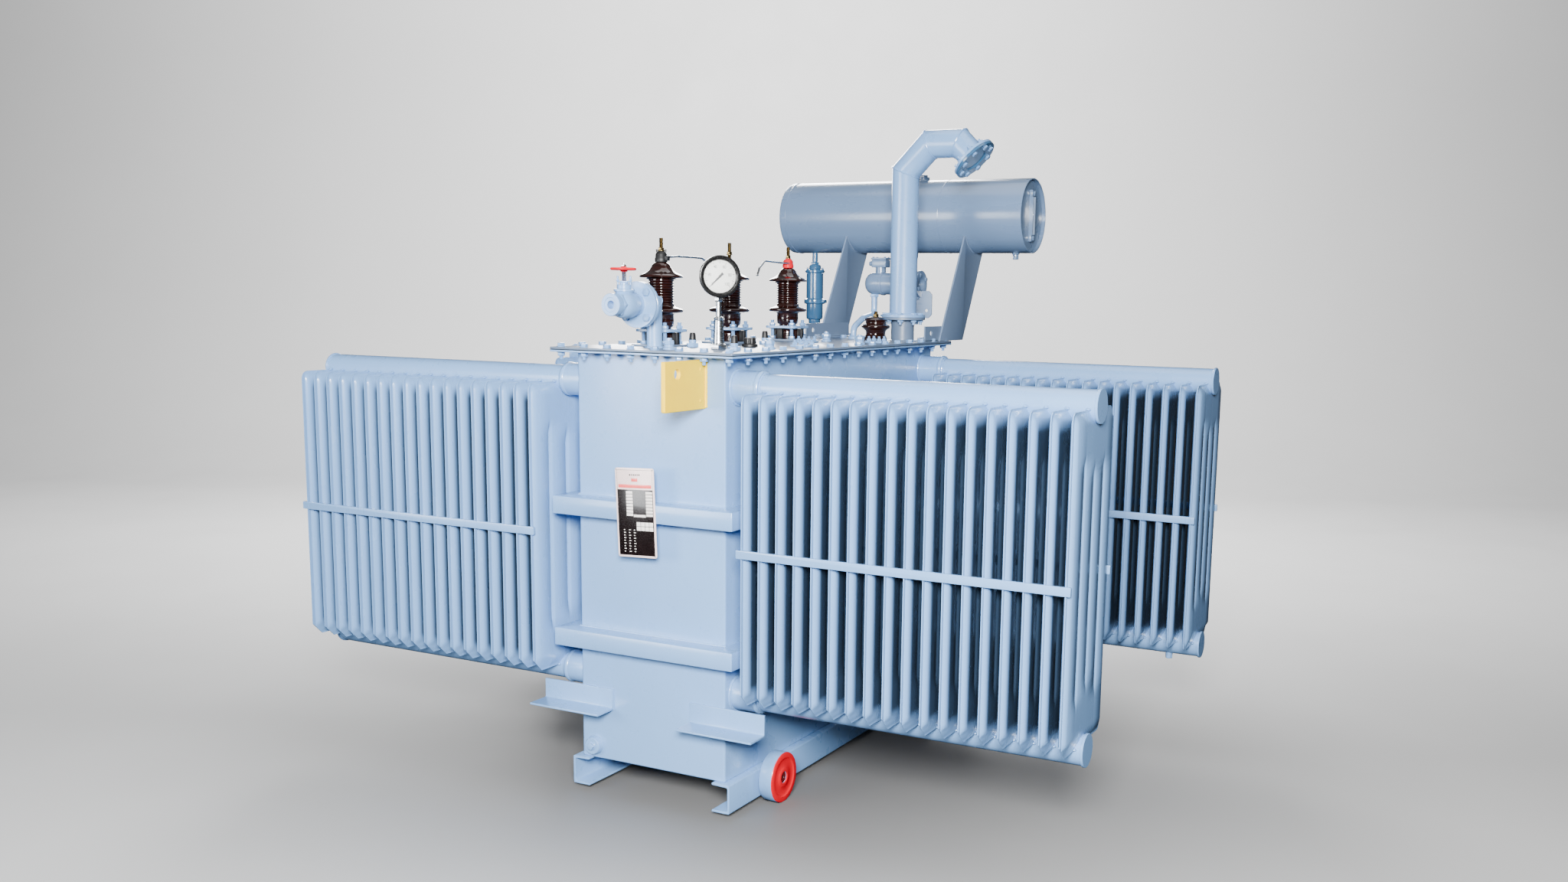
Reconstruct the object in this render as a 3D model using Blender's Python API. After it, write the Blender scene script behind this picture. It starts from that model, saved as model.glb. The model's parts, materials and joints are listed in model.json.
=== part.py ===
"""Oil-filled distribution transformer: tank, four radiator banks, conservator, bushings and rollers.

Metres. X runs across the tank, Y along it with the rating plate at -Y, and Z up from the floor.
"""
import math

import bmesh
import bpy
from mathutils import Matrix, Vector

# ---------------------------------------------------------------- driving dimensions
TANK_WIDTH = 0.470
TANK_LENGTH = 1.300
TANK_HEIGHT = 1.136
TANK_WALL = 0.006
TANK_FLOOR = 0.008
GAP = 0.0003

RIM_OVERHANG = 0.052
RIM_THICK = 0.005
GASKET_THICK = 0.002
COVER_THICK = 0.006
RIM_BOLT_OUT = 0.030
BOLTS_ACROSS = 8
BOLTS_ALONG = 16
BOLT_RADIUS = 0.0105
BOLT_HEAD = 0.008
BOLT_RELIEF = 0.003

WHEEL_RADIUS = 0.070
WHEEL_WIDTH = 0.042
WHEEL_BORE = 0.0125
WHEEL_COUNTERBORE = 0.0165
COUNTERBORE_DEPTH = 0.009
WHEEL_RIM = 0.009
WHEEL_DISH = 0.003
WHEEL_FROM_END = 0.186
WHEEL_TO_WEB = 0.013
PIN_CLEARANCE = 0.0005
PIN_HEAD = 0.004

CHANNEL_HEIGHT = 0.080
CHANNEL_FLANGE = 0.055
CHANNEL_THICK = 0.006
CHANNEL_PROUD = 0.014
CHANNEL_OUT = 0.0225
TANK_ABOVE_FLOOR = 0.098

BAND_HEIGHT = 0.050
BAND_DEPTH = 0.052
UPPER_BAND_UP = 0.717
LOWER_BAND_UP = 0.349

BRACKET_LENGTH = 0.232
BRACKET_INNER = 0.127
BRACKET_UPRIGHT = 0.060
BRACKET_SHELF = 0.075
BRACKET_THICK = 0.006
BRACKET_UP = 0.147
BOSS_RADIUS = 0.025
BOSS_LENGTH = 0.018
BOSS_X = -0.191
BOSS_UP = 0.037

FIN_COUNT = 18
FIN_PITCH = 0.050
FIN_WIDTH = 0.300
FIN_THICK = 0.020
FIN_REAR_CUT = 0.034
FIRST_FIN_OUT = 0.100
FIN_TOP_DROP = 0.007
FIN_BOTTOM_RISE = 0.010
BAR_HEIGHT = 0.022
BAR_THICK = 0.006
BAR_LAP = 0.003
HEADER_RADIUS = 0.038
HEADER_END = 0.0215
LOWER_HEADER_UP = 0.234
UPPER_HEADER_DOWN = 0.084
HEADER_FROM_END = 0.065
SLEEVE_RADIUS = 0.0445
SLEEVE_LENGTH = 0.082

HV_X = -0.100
HV_FROM_FRONT = 0.2015
HV_PITCH = 0.3535
HV_TAIL_RADIUS = 0.024
HV_TAIL_DEPTH = 0.070
HV_HOLE_CLEARANCE = 0.003
HV_SEAT_RADIUS = 0.038
HV_SEAT_HEIGHT = 0.040
HV_NECK_RADIUS = 0.027
HV_SHED_RADIUS = 0.060
HV_SHED_HEIGHTS = (0.104, 0.195)
HV_TOP = 0.230
HV_ROD_RADIUS = 0.006
HV_ROD_TOP = 0.296
HV_CAP_RADIUS = 0.017
HV_CAP_HEIGHT = 0.030
CLAMP_HALF = 0.050
CLAMP_THICK = 0.008
STUD_RADIUS = 0.006
STUD_ABOVE = 0.018
HORN_RADIUS = 0.004
FIRST_HORN = 0.236
LAST_HORN = 0.150
LAST_HORN_DROP = 0.045

NEUTRAL_X = 0.123
NEUTRAL_FROM_FRONT = 1.100
NEUTRAL_RADIUS = 0.047
NEUTRAL_HEIGHT = 0.084

VENT_X = 0.171
VENT_FROM_FRONT = 1.205
VENT_RADIUS = 0.0445
VENT_WALL = 0.004
VENT_STUB_RADIUS = 0.038
VENT_STUB_HEIGHT = 0.078
VENT_FLANGE_RADIUS = 0.074
VENT_FLANGE_THICK = 0.008
VENT_TOP = 0.633
VENT_RISE = 0.086
VENT_RUN = 0.104
VENT_MOUTH = 0.070
DISC_RADIUS = 0.075
DISC_THICK = 0.008

VALVE_X = -0.053
VALVE_FROM_FRONT = 0.100
VALVE_PIPE_RADIUS = 0.021
VALVE_AXIS_UP = 0.115
VALVE_FLANGE_RADIUS = 0.061
VALVE_FLANGE_THICK = 0.009
VALVE_FLANGE_OUT = 0.072
VALVE_BORE = 0.0105
VALVE_BODY_RADIUS = 0.034
VALVE_STEM_OUT = 0.135
VALVE_MOUTH_OUT = 0.195
VALVE_MOUTH_RADIUS = 0.029
BONNET_RADIUS = 0.019
BONNET_UP = 0.050
STEM_RADIUS = 0.006
STEM_CLEARANCE = 0.0005
HANDWHEEL_UP = 0.207
HANDWHEEL_RADIUS = 0.035
HANDWHEEL_TUBE = 0.0045
HUB_RADIUS = 0.009
GATE_RADIUS = 0.0145
GATE_THICK = 0.012
GATE_LIFT = 0.025
SCREW_RADIUS = 0.003
SCREW_BITE = 0.005

GAUGE_X = 0.139
GAUGE_FROM_FRONT = 0.120
GAUGE_UP = 0.192
GAUGE_TURN = math.radians(46)
GAUGE_RADIUS = 0.055
GAUGE_DEPTH = 0.040
GAUGE_RIM = 0.005
DIAL_SINK = 0.010
DIAL_THICK = 0.002
NEEDLE_LENGTH = 0.034
NEEDLE_THICK = 0.0015
NEEDLE_REST = math.radians(225)
GLASS_SINK = 0.002
GLASS_THICK = 0.002
GAUGE_STEM_TOP = 0.012
GAUGE_STEM_BASE = 0.016
POCKET_DEPTH = 0.120

TAP_X = 0.100
TAP_FROM_FRONT = 0.343
TAP_KNOB_RADIUS = 0.020
TAP_KNOB_HEIGHT = 0.028
TAP_SHAFT_RADIUS = 0.006
TAP_DRUM_RADIUS = 0.030
TAP_DRUM_HEIGHT = 0.070
TAP_DRUM_DEPTH = 0.120

CORE_LIMB = 0.150
CORE_DEPTH = 0.150
LIMB_PITCH = 0.390
CORE_HEADROOM = 0.218
CORE_UP = 0.050
WINDING_INNER = 0.112
WINDING_OUTER = 0.186
WINDING_END_GAP = 0.025
CLAMP_BEAM = 0.060
CLAMP_BEAM_THICK = 0.012
CLAMP_GRIP = 0.020

CONSERVATOR_RADIUS = 0.126
CONSERVATOR_WALL = 0.004
CONSERVATOR_LEFT = -0.447
CONSERVATOR_RIGHT = 0.482
CONSERVATOR_FROM_FRONT = 1.579
CONSERVATOR_CLEAR = 0.299
END_DISC_SINK = 0.012
END_DISC_THICK = 0.006
FILLER_X = 0.066
FILLER_RADIUS = 0.022
FILLER_HEIGHT = 0.016
DRAIN_X = 0.422
DRAIN_RADIUS = 0.010
DRAIN_LENGTH = 0.022
SIGHT_HEIGHT = 0.150
SIGHT_RADIUS = 0.008
SIGHT_BLOCK = 0.026

LEG_X = (-0.182, 0.272)
LEG_THICK = 0.006
LEG_FOOT_FRONT = 1.278
LEG_FOOT_REAR = 1.478
LEG_TOP_FRONT = 1.474
LEG_TOP_REAR = 1.650
RAIL_FRONT = 1.170
RAIL_REAR = 1.490
RAIL_HEIGHT = 0.050
RAIL_WIDTH = 0.050
RAIL_THICK = 0.005

BREATHER_X = -0.365
BREATHER_RADIUS = 0.031
BREATHER_BAND = 0.039
BREATHER_TOP = 0.256
BREATHER_BAND_UP = 0.124
BREATHER_BOTTOM = 0.039
BREATHER_PIPE = 0.010

RELAY_FROM_FRONT = 1.420
RELAY_UP = 0.189
RELAY_X = (-0.071, 0.141)
RELAY_RADIUS = 0.038
RELAY_FLANGE = 0.046
RELAY_FLANGE_THICK = 0.008
RELAY_BOX = (0.054, 0.040, 0.042)
RELAY_BOX_X = -0.017
RELAY_NECK = 0.018
FEED_RADIUS = 0.0105
FEED_X = -0.040
FEED_COVER_FROM_FRONT = 1.262
FEED_LOW = 0.061
RISER_X = 0.060
RISER_IN = 0.040
RISER_SHORT = 0.0034

LUG_REACH = 0.185
LUG_HEIGHT = 0.126
LUG_THICK = 0.012
LUG_X = 0.170
LUG_DOWN = 0.007
LUG_HOLE = 0.013
LUG_HOLE_IN = 0.055
LUG_HOLE_DOWN = 0.033

PLATE_WIDTH = 0.124
PLATE_HEIGHT = 0.238
PLATE_THICK = 0.002
PLATE_X = -0.008
PLATE_UP = 0.717
PLATE_LEAN = math.radians(-2.4)

LV_PLATE_LENGTH = 0.440
LV_PLATE_HEIGHT = 0.120
LV_PLATE_THICK = 0.016
LV_BELOW_MIDDLE = 0.0065
LV_PALM_COUNT = 4
LV_PALM_PITCH = 0.105
LV_PALM_WIDTH = 0.040
LV_PALM_THICK = 0.010
LV_PALM_OUT = 0.085
LV_PALM_IN = 0.060
LV_HOLE_IN = 0.022
LV_HOLE_RADIUS = 0.007

ROUND = 16
ROUND_WHEEL = 20
ROUND_DRUM = 24

# ---------------------------------------------------------------- places worked out from them
FRONT = -TANK_LENGTH / 2
BASE = TANK_ABOVE_FLOOR
RIM_TOP = BASE + TANK_HEIGHT
COVER_BOTTOM = RIM_TOP + GASKET_THICK
COVER_TOP = COVER_BOTTOM + COVER_THICK
HALF_WIDTH = TANK_WIDTH / 2
HALF_LENGTH = TANK_LENGTH / 2
COVER_HALF_X = HALF_WIDTH + RIM_OVERHANG
COVER_HALF_Y = HALF_LENGTH + RIM_OVERHANG
UPPER_HEADER_Z = RIM_TOP - UPPER_HEADER_DOWN
LOWER_HEADER_Z = BASE + LOWER_HEADER_UP
FIN_TOP = UPPER_HEADER_Z - FIN_TOP_DROP
FIN_BOTTOM = LOWER_HEADER_Z + FIN_BOTTOM_RISE
WEB_FACE = HALF_WIDTH + CHANNEL_OUT
LIMB_BOTTOM = BASE + TANK_FLOOR + CORE_UP
WINDOW_HEIGHT = TANK_HEIGHT - TANK_FLOOR - CORE_UP - 2 * CORE_LIMB - CORE_HEADROOM
LV_Z = (BASE + UPPER_BAND_UP + BAND_HEIGHT / 2 + RIM_TOP - RIM_THICK) / 2 - LV_BELOW_MIDDLE
CONSERVATOR_Y = FRONT + CONSERVATOR_FROM_FRONT
CONSERVATOR_Z = COVER_TOP + CONSERVATOR_CLEAR + CONSERVATOR_RADIUS

MATERIALS = {
    "enamel": ((0.36, 0.47, 0.62), 0.38, 0.0),
    "enamel_dark": ((0.20, 0.36, 0.52), 0.40, 0.0),
    "red_paint": ((0.80, 0.01, 0.03), 0.30, 0.0),
    "yellow_paint": ((0.95, 0.58, 0.03), 0.40, 0.0),
    "brown_glaze": ((0.035, 0.010, 0.008), 0.12, 0.0),
    "zinc": ((0.60, 0.61, 0.63), 0.35, 1.0),
    "brass": ((0.72, 0.52, 0.22), 0.30, 1.0),
    "copper": ((0.75, 0.38, 0.22), 0.35, 1.0),
    "silicon_steel": ((0.30, 0.31, 0.33), 0.45, 1.0),
    "black_plastic": ((0.015, 0.015, 0.017), 0.35, 0.0),
    "dial_white": ((0.88, 0.88, 0.86), 0.50, 0.0),
    "glass": ((0.95, 0.97, 0.98), 0.03, 0.0),
    "cork_rubber": ((0.05, 0.05, 0.055), 0.80, 0.0),
    "label_black": ((0.03, 0.02, 0.025), 0.40, 0.0),
    "resin": ((0.30, 0.09, 0.05), 0.45, 0.0),
}


# ---------------------------------------------------------------- shape helpers
def material(name):
    """The named paint or metal, made once."""
    found = bpy.data.materials.get(name)
    if found:
        return found
    colour, roughness, metallic = MATERIALS[name]
    made = bpy.data.materials.new(name)
    made.use_nodes = True
    shader = made.node_tree.nodes["Principled BSDF"]
    shader.inputs["Base Color"].default_value = (*colour, 1.0)
    shader.inputs["Roughness"].default_value = roughness
    shader.inputs["Metallic"].default_value = metallic
    made.diffuse_color = (*colour, 1.0)
    return made


def place(name, shape, finish, location=(0, 0, 0), rotation=(0, 0, 0)):
    """Turns a finished bmesh into a named object."""
    bmesh.ops.recalc_face_normals(shape, faces=shape.faces[:])
    mesh = bpy.data.meshes.new(name)
    shape.to_mesh(mesh)
    shape.free()
    for face in mesh.polygons:
        face.use_smooth = True
    mesh.set_sharp_from_angle(angle=math.radians(32))
    made = bpy.data.objects.new(name, mesh)
    made.location = location
    made.rotation_euler = rotation
    mesh.materials.append(material(finish))
    bpy.context.scene.collection.objects.link(made)
    return made


def add_box(shape, low, high):
    """A box between two opposite corners."""
    low, high = Vector(low), Vector(high)
    size = high - low
    matrix = Matrix.Translation((low + high) / 2) @ Matrix.Diagonal((*size, 1.0))
    bmesh.ops.create_cube(shape, size=1.0, matrix=matrix)


def add_prism(shape, outline, axis, low, high):
    """A straight prism of a flat outline. Its two coordinates are the other two axes in X, Y, Z order."""
    others = [index for index in range(3) if index != axis]
    rings = []
    for level in (low, high):
        ring = []
        for point in outline:
            corner = [0.0, 0.0, 0.0]
            corner[axis] = level
            corner[others[0]], corner[others[1]] = point
            ring.append(shape.verts.new(corner))
        rings.append(ring)
    count = len(outline)
    shape.faces.new(rings[0])
    shape.faces.new(rings[1][::-1])
    for index in range(count):
        after = (index + 1) % count
        shape.faces.new((rings[0][index], rings[0][after], rings[1][after], rings[1][index]))


def add_turning(shape, profile, segments=ROUND, matrix=None, ring=False):
    """A turned solid from (radius, height) points. A ring profile is a closed loop around the axis."""
    matrix = matrix or Matrix.Identity(4)
    rows = []
    for radius, height in profile:
        if radius == 0:
            rows.append([shape.verts.new(matrix @ Vector((0, 0, height)))])
            continue
        angles = [2 * math.pi * step / segments for step in range(segments)]
        rows.append([shape.verts.new(matrix @ Vector((radius * math.cos(a), radius * math.sin(a), height)))
                     for a in angles])
    pairs = list(zip(rows, rows[1:]))
    if ring:
        pairs.append((rows[-1], rows[0]))
    for lower, upper in pairs:
        for step in range(segments):
            after = (step + 1) % segments
            corners = [lower[step % len(lower)], lower[after % len(lower)],
                       upper[after % len(upper)], upper[step % len(upper)]]
            distinct = list(dict.fromkeys(corners))
            if len(distinct) > 2:
                shape.faces.new(distinct)
    if not ring:
        for row in (rows[0], rows[-1]):
            if len(row) > 1:
                shape.faces.new(row)


def add_rod(shape, start, end, radius, segments=12):
    """A straight round bar between two points."""
    start, end = Vector(start), Vector(end)
    turn = (end - start).to_track_quat("Z", "Y").to_matrix().to_4x4()
    matrix = Matrix.Translation(start) @ turn
    add_turning(shape, [(radius, 0), (radius, (end - start).length)], segments, matrix)


def add_bent_pipe(shape, path, radius, segments=ROUND, bore=None):
    """A pipe along straight runs with mitred corners. With a bore it is open at both ends."""
    path = [Vector(point) for point in path]
    runs = [(b - a).normalized() for a, b in zip(path, path[1:])]
    side = runs[0].orthogonal().normalized()
    for run in runs[1:]:
        if abs(runs[0].cross(run).length) > 1e-6:
            side = runs[0].cross(run).normalized()
            break

    def rings_of(size):
        rings = []
        for index, point in enumerate(path):
            before = runs[max(index - 1, 0)]
            after = runs[min(index, len(runs) - 1)]
            across = side.cross(before).normalized()
            normal = (before + after).normalized()
            ring = []
            for step in range(segments):
                angle = 2 * math.pi * step / segments
                offset = size * (math.cos(angle) * side + math.sin(angle) * across)
                slide = -offset.dot(normal) / before.dot(normal)
                ring.append(shape.verts.new(point + offset + slide * before))
            rings.append(ring)
        return rings

    def skin(first, second):
        for step in range(segments):
            after = (step + 1) % segments
            shape.faces.new((first[step], first[after], second[after], second[step]))

    outer = rings_of(radius)
    for first, second in zip(outer, outer[1:]):
        skin(first, second)
    if bore is None:
        shape.faces.new(outer[0])
        shape.faces.new(outer[-1])
        return
    inner = rings_of(bore)
    for first, second in zip(inner, inner[1:]):
        skin(first, second)
    skin(outer[0], inner[0])
    skin(outer[-1], inner[-1])


def combine(target, operation, shape, name):
    """Joins a shape to an object, or cuts it away, with a guide object that stays hidden."""
    guide = place(f"guide_{name}", shape, "zinc")
    guide.location = target.location
    guide.rotation_euler = target.rotation_euler
    guide.hide_render = True
    guide.display_type = "WIRE"
    step = target.modifiers.new(name, "BOOLEAN")
    step.operation = operation
    step.solver = "EXACT"
    step.object = guide


def join(target, shape, name):
    combine(target, "UNION", shape, name)


def cut(target, shape, name):
    combine(target, "DIFFERENCE", shape, name)


def regular(sides, radius, centre=(0, 0), start=0.0):
    """The corners of a regular polygon."""
    angles = [start + 2 * math.pi * step / sides for step in range(sides)]
    return [(centre[0] + radius * math.cos(a), centre[1] + radius * math.sin(a)) for a in angles]


def spread(first, last, count):
    """Evenly spaced values with both ends in."""
    return [first + (last - first) * step / (count - 1) for step in range(count)]


def rim_bolts():
    """The centres of the cover bolts, one ring around the rim."""
    reach_x = HALF_WIDTH + RIM_BOLT_OUT
    reach_y = HALF_LENGTH + RIM_BOLT_OUT
    across = [(x, side * reach_y) for x in spread(-reach_x, reach_x, BOLTS_ACROSS) for side in (-1, 1)]
    along = [(side * reach_x, y) for y in spread(-reach_y, reach_y, BOLTS_ALONG)[1:-1] for side in (-1, 1)]
    return across + along


# ---------------------------------------------------------------- tank and base
def build_tank():
    shape = bmesh.new()
    add_box(shape, (-HALF_WIDTH, -HALF_LENGTH, BASE), (HALF_WIDTH, HALF_LENGTH, RIM_TOP))
    tank = place("tank", shape, "enamel")
    rim = bmesh.new()
    add_box(rim, (-COVER_HALF_X, -COVER_HALF_Y, RIM_TOP - RIM_THICK), (COVER_HALF_X, COVER_HALF_Y, RIM_TOP))
    join(tank, rim, "rim_flange")
    fittings = bmesh.new()
    for end in (-1, 1):
        face = end * (HALF_LENGTH - TANK_WALL / 2)
        for side in (-1, 1):
            x_low, x_high = sorted((side * BRACKET_INNER, side * (BRACKET_INNER + BRACKET_LENGTH)))
            wall = end * HALF_LENGTH
            outline = [(wall - end * BRACKET_THICK / 2, BASE + BRACKET_UP),
                       (wall + end * BRACKET_SHELF, BASE + BRACKET_UP),
                       (wall + end * BRACKET_SHELF, BASE + BRACKET_UP + BRACKET_THICK),
                       (wall + end * BRACKET_THICK, BASE + BRACKET_UP + BRACKET_THICK),
                       (wall + end * BRACKET_THICK, BASE + BRACKET_UP + BRACKET_UPRIGHT),
                       (wall - end * BRACKET_THICK / 2, BASE + BRACKET_UP + BRACKET_UPRIGHT)]
            add_prism(fittings, outline, 0, x_low, x_high)
        boss_x = end * -BOSS_X
        add_rod(fittings, (boss_x, face, BASE + BOSS_UP),
                (boss_x, end * (HALF_LENGTH + BOSS_LENGTH), BASE + BOSS_UP), BOSS_RADIUS, 16)
    join(tank, fittings, "welded_brackets")
    bands = bmesh.new()
    reach_x = HALF_WIDTH + BAND_DEPTH
    reach_y = HALF_LENGTH + BAND_DEPTH
    for height in (UPPER_BAND_UP, LOWER_BAND_UP):
        add_box(bands, (-reach_x, -reach_y, BASE + height - BAND_HEIGHT / 2),
                (reach_x, reach_y, BASE + height + BAND_HEIGHT / 2))
    join(tank, bands, "stiffener_bands")
    hollow = bmesh.new()
    inner_x = HALF_WIDTH - TANK_WALL
    inner_y = HALF_LENGTH - TANK_WALL
    add_box(hollow, (-inner_x, -inner_y, BASE + TANK_FLOOR), (inner_x, inner_y, RIM_TOP + GASKET_THICK))
    lv_z = LV_Z
    reach = LV_PALM_PITCH * (LV_PALM_COUNT - 1) / 2 + LV_PALM_WIDTH / 2 + 0.006
    window = bmesh.new()
    add_box(window, (-HALF_WIDTH - TANK_WALL, -reach, lv_z - 0.030),
            (-HALF_WIDTH + 2 * TANK_WALL, reach, lv_z + 0.030))
    cut(tank, hollow, "oil_space")
    cut(tank, window, "low_voltage_window")


def wheel_places():
    """Each roller's name, side and distance along the tank."""
    reach = HALF_LENGTH - WHEEL_FROM_END
    return [(f"roller_{end}_{side}", sign_x, sign_y * reach)
            for end, sign_y in (("front", -1), ("rear", 1)) for side, sign_x in (("left", -1), ("right", 1))]


def build_base_channels():
    top = BASE - GAP
    bottom = top - CHANNEL_HEIGHT
    reach_y = HALF_LENGTH + CHANNEL_PROUD
    for name, side in (("base_channel_left", -1), ("base_channel_right", 1)):
        web = side * WEB_FACE
        toe = side * (WEB_FACE - CHANNEL_FLANGE)
        inner_web = side * (WEB_FACE - CHANNEL_THICK)
        outline = [(web, bottom), (web, top), (toe, top), (toe, top - CHANNEL_THICK),
                   (inner_web, top - CHANNEL_THICK), (inner_web, bottom + CHANNEL_THICK),
                   (toe, bottom + CHANNEL_THICK), (toe, bottom)]
        shape = bmesh.new()
        add_prism(shape, outline, 1, -reach_y, reach_y)
        channel = place(name, shape, "enamel")
        pins = bmesh.new()
        radius = WHEEL_BORE - PIN_CLEARANCE
        head_in = WHEEL_TO_WEB + WHEEL_WIDTH - COUNTERBORE_DEPTH + 2 * PIN_CLEARANCE
        profile = [(radius + 0.006, -CHANNEL_THICK / 2), (radius + 0.006, WHEEL_TO_WEB - 2 * PIN_CLEARANCE),
                   (radius, WHEEL_TO_WEB - 2 * PIN_CLEARANCE), (radius, head_in),
                   (WHEEL_COUNTERBORE - PIN_CLEARANCE, head_in),
                   (WHEEL_COUNTERBORE - PIN_CLEARANCE, head_in + PIN_HEAD)]
        for _, sign_x, y in wheel_places():
            if sign_x == side:
                turn = Matrix.Rotation(side * math.pi / 2, 4, "Y")
                matrix = Matrix.Translation((web, y, WHEEL_RADIUS)) @ turn
                add_turning(pins, profile, ROUND, matrix)
        join(channel, pins, "roller_pins")


def build_rollers():
    outer = WHEEL_WIDTH
    rim_in = WHEEL_RADIUS - WHEEL_RIM
    profile = [(WHEEL_BORE, 0), (WHEEL_RADIUS, 0), (WHEEL_RADIUS, outer - 0.003),
               (WHEEL_RADIUS - 0.003, outer),
               (rim_in, outer), (rim_in - 0.004, outer - WHEEL_DISH), (WHEEL_COUNTERBORE, outer - WHEEL_DISH),
               (WHEEL_COUNTERBORE, outer - COUNTERBORE_DEPTH), (WHEEL_BORE, outer - COUNTERBORE_DEPTH)]
    for name, side, y in wheel_places():
        shape = bmesh.new()
        add_turning(shape, profile, ROUND_WHEEL, Matrix.Rotation(side * math.pi / 2, 4, "Y"), ring=True)
        place(name, shape, "red_paint", (side * (WEB_FACE + WHEEL_TO_WEB), y, WHEEL_RADIUS))


# ---------------------------------------------------------------- cover
def cover_holes():
    """Every hole through the cover: x, y and radius."""
    holes = [(HV_X, FRONT + HV_FROM_FRONT + HV_PITCH * step, HV_TAIL_RADIUS + HV_HOLE_CLEARANCE)
             for step in range(3)]
    holes.append((NEUTRAL_X, FRONT + NEUTRAL_FROM_FRONT, NEUTRAL_RADIUS * 0.5))
    holes.append((VENT_X, FRONT + VENT_FROM_FRONT, VENT_STUB_RADIUS - VENT_WALL))
    holes.append((VALVE_X, FRONT + VALVE_FROM_FRONT, VALVE_BORE))
    holes.append((GAUGE_X, FRONT + GAUGE_FROM_FRONT, GAUGE_STEM_TOP + 0.001))
    holes.append((TAP_X, FRONT + TAP_FROM_FRONT, TAP_SHAFT_RADIUS + STEM_CLEARANCE))
    holes.append((FEED_X, FRONT + FEED_COVER_FROM_FRONT, FEED_RADIUS * 0.7))
    return holes


def build_cover():
    shape = bmesh.new()
    add_box(shape, (-COVER_HALF_X, -COVER_HALF_Y, COVER_BOTTOM), (COVER_HALF_X, COVER_HALF_Y, COVER_TOP))
    cover = place("tank_cover", shape, "enamel")
    heads = bmesh.new()
    for centre in rim_bolts():
        add_prism(heads, regular(6, BOLT_RADIUS, centre), 2, COVER_TOP - COVER_THICK / 2,
                  COVER_TOP + BOLT_HEAD)
    join(cover, heads, "cover_bolts")
    stub = bmesh.new()
    top = COVER_TOP + VENT_STUB_HEIGHT
    add_turning(stub, [(VENT_STUB_RADIUS, COVER_TOP - COVER_THICK / 2),
                       (VENT_STUB_RADIUS, top - VENT_FLANGE_THICK),
                       (VENT_FLANGE_RADIUS, top - VENT_FLANGE_THICK),
                       (VENT_FLANGE_RADIUS, top)], ROUND,
                Matrix.Translation((VENT_X, FRONT + VENT_FROM_FRONT, 0)))
    join(cover, stub, "vent_stub")
    holes = bmesh.new()
    for x, y, radius in cover_holes():
        add_rod(holes, (x, y, COVER_BOTTOM - COVER_THICK), (x, y, top + COVER_THICK), radius, 12)
    cut(cover, holes, "cover_holes")

    ring = bmesh.new()
    add_box(ring, (-COVER_HALF_X, -COVER_HALF_Y, RIM_TOP + GAP),
            (COVER_HALF_X, COVER_HALF_Y, COVER_BOTTOM - GAP))
    gasket = place("cover_gasket", ring, "cork_rubber")
    middle = bmesh.new()
    inner_x = HALF_WIDTH - TANK_WALL
    inner_y = HALF_LENGTH - TANK_WALL
    add_box(middle, (-inner_x, -inner_y, RIM_TOP - GASKET_THICK), (inner_x, inner_y, COVER_TOP))
    cut(gasket, middle, "gasket_opening")


# ---------------------------------------------------------------- radiators
def fin_outline(y_mid):
    """One cooling panel's outline in Y and Z, half sunk around both headers."""
    front = y_mid - FIN_WIDTH / 2
    rear = y_mid + FIN_WIDTH / 2
    seat = HEADER_RADIUS + GAP
    flat = seat * math.tan(math.radians(30))
    point = seat / math.cos(math.radians(30))
    top_half = point - FIN_TOP_DROP * math.tan(math.radians(30))
    bottom_half = point - FIN_BOTTOM_RISE * math.tan(math.radians(30))
    return [(front, FIN_BOTTOM), (y_mid - bottom_half, FIN_BOTTOM), (y_mid - flat, LOWER_HEADER_Z + seat),
            (y_mid + flat, LOWER_HEADER_Z + seat), (y_mid + bottom_half, FIN_BOTTOM),
            (rear - FIN_REAR_CUT, FIN_BOTTOM), (rear, FIN_BOTTOM + FIN_REAR_CUT), (rear, FIN_TOP),
            (y_mid + top_half, FIN_TOP), (y_mid + flat, UPPER_HEADER_Z - seat),
            (y_mid - flat, UPPER_HEADER_Z - seat), (y_mid - top_half, FIN_TOP), (front, FIN_TOP)]


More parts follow.
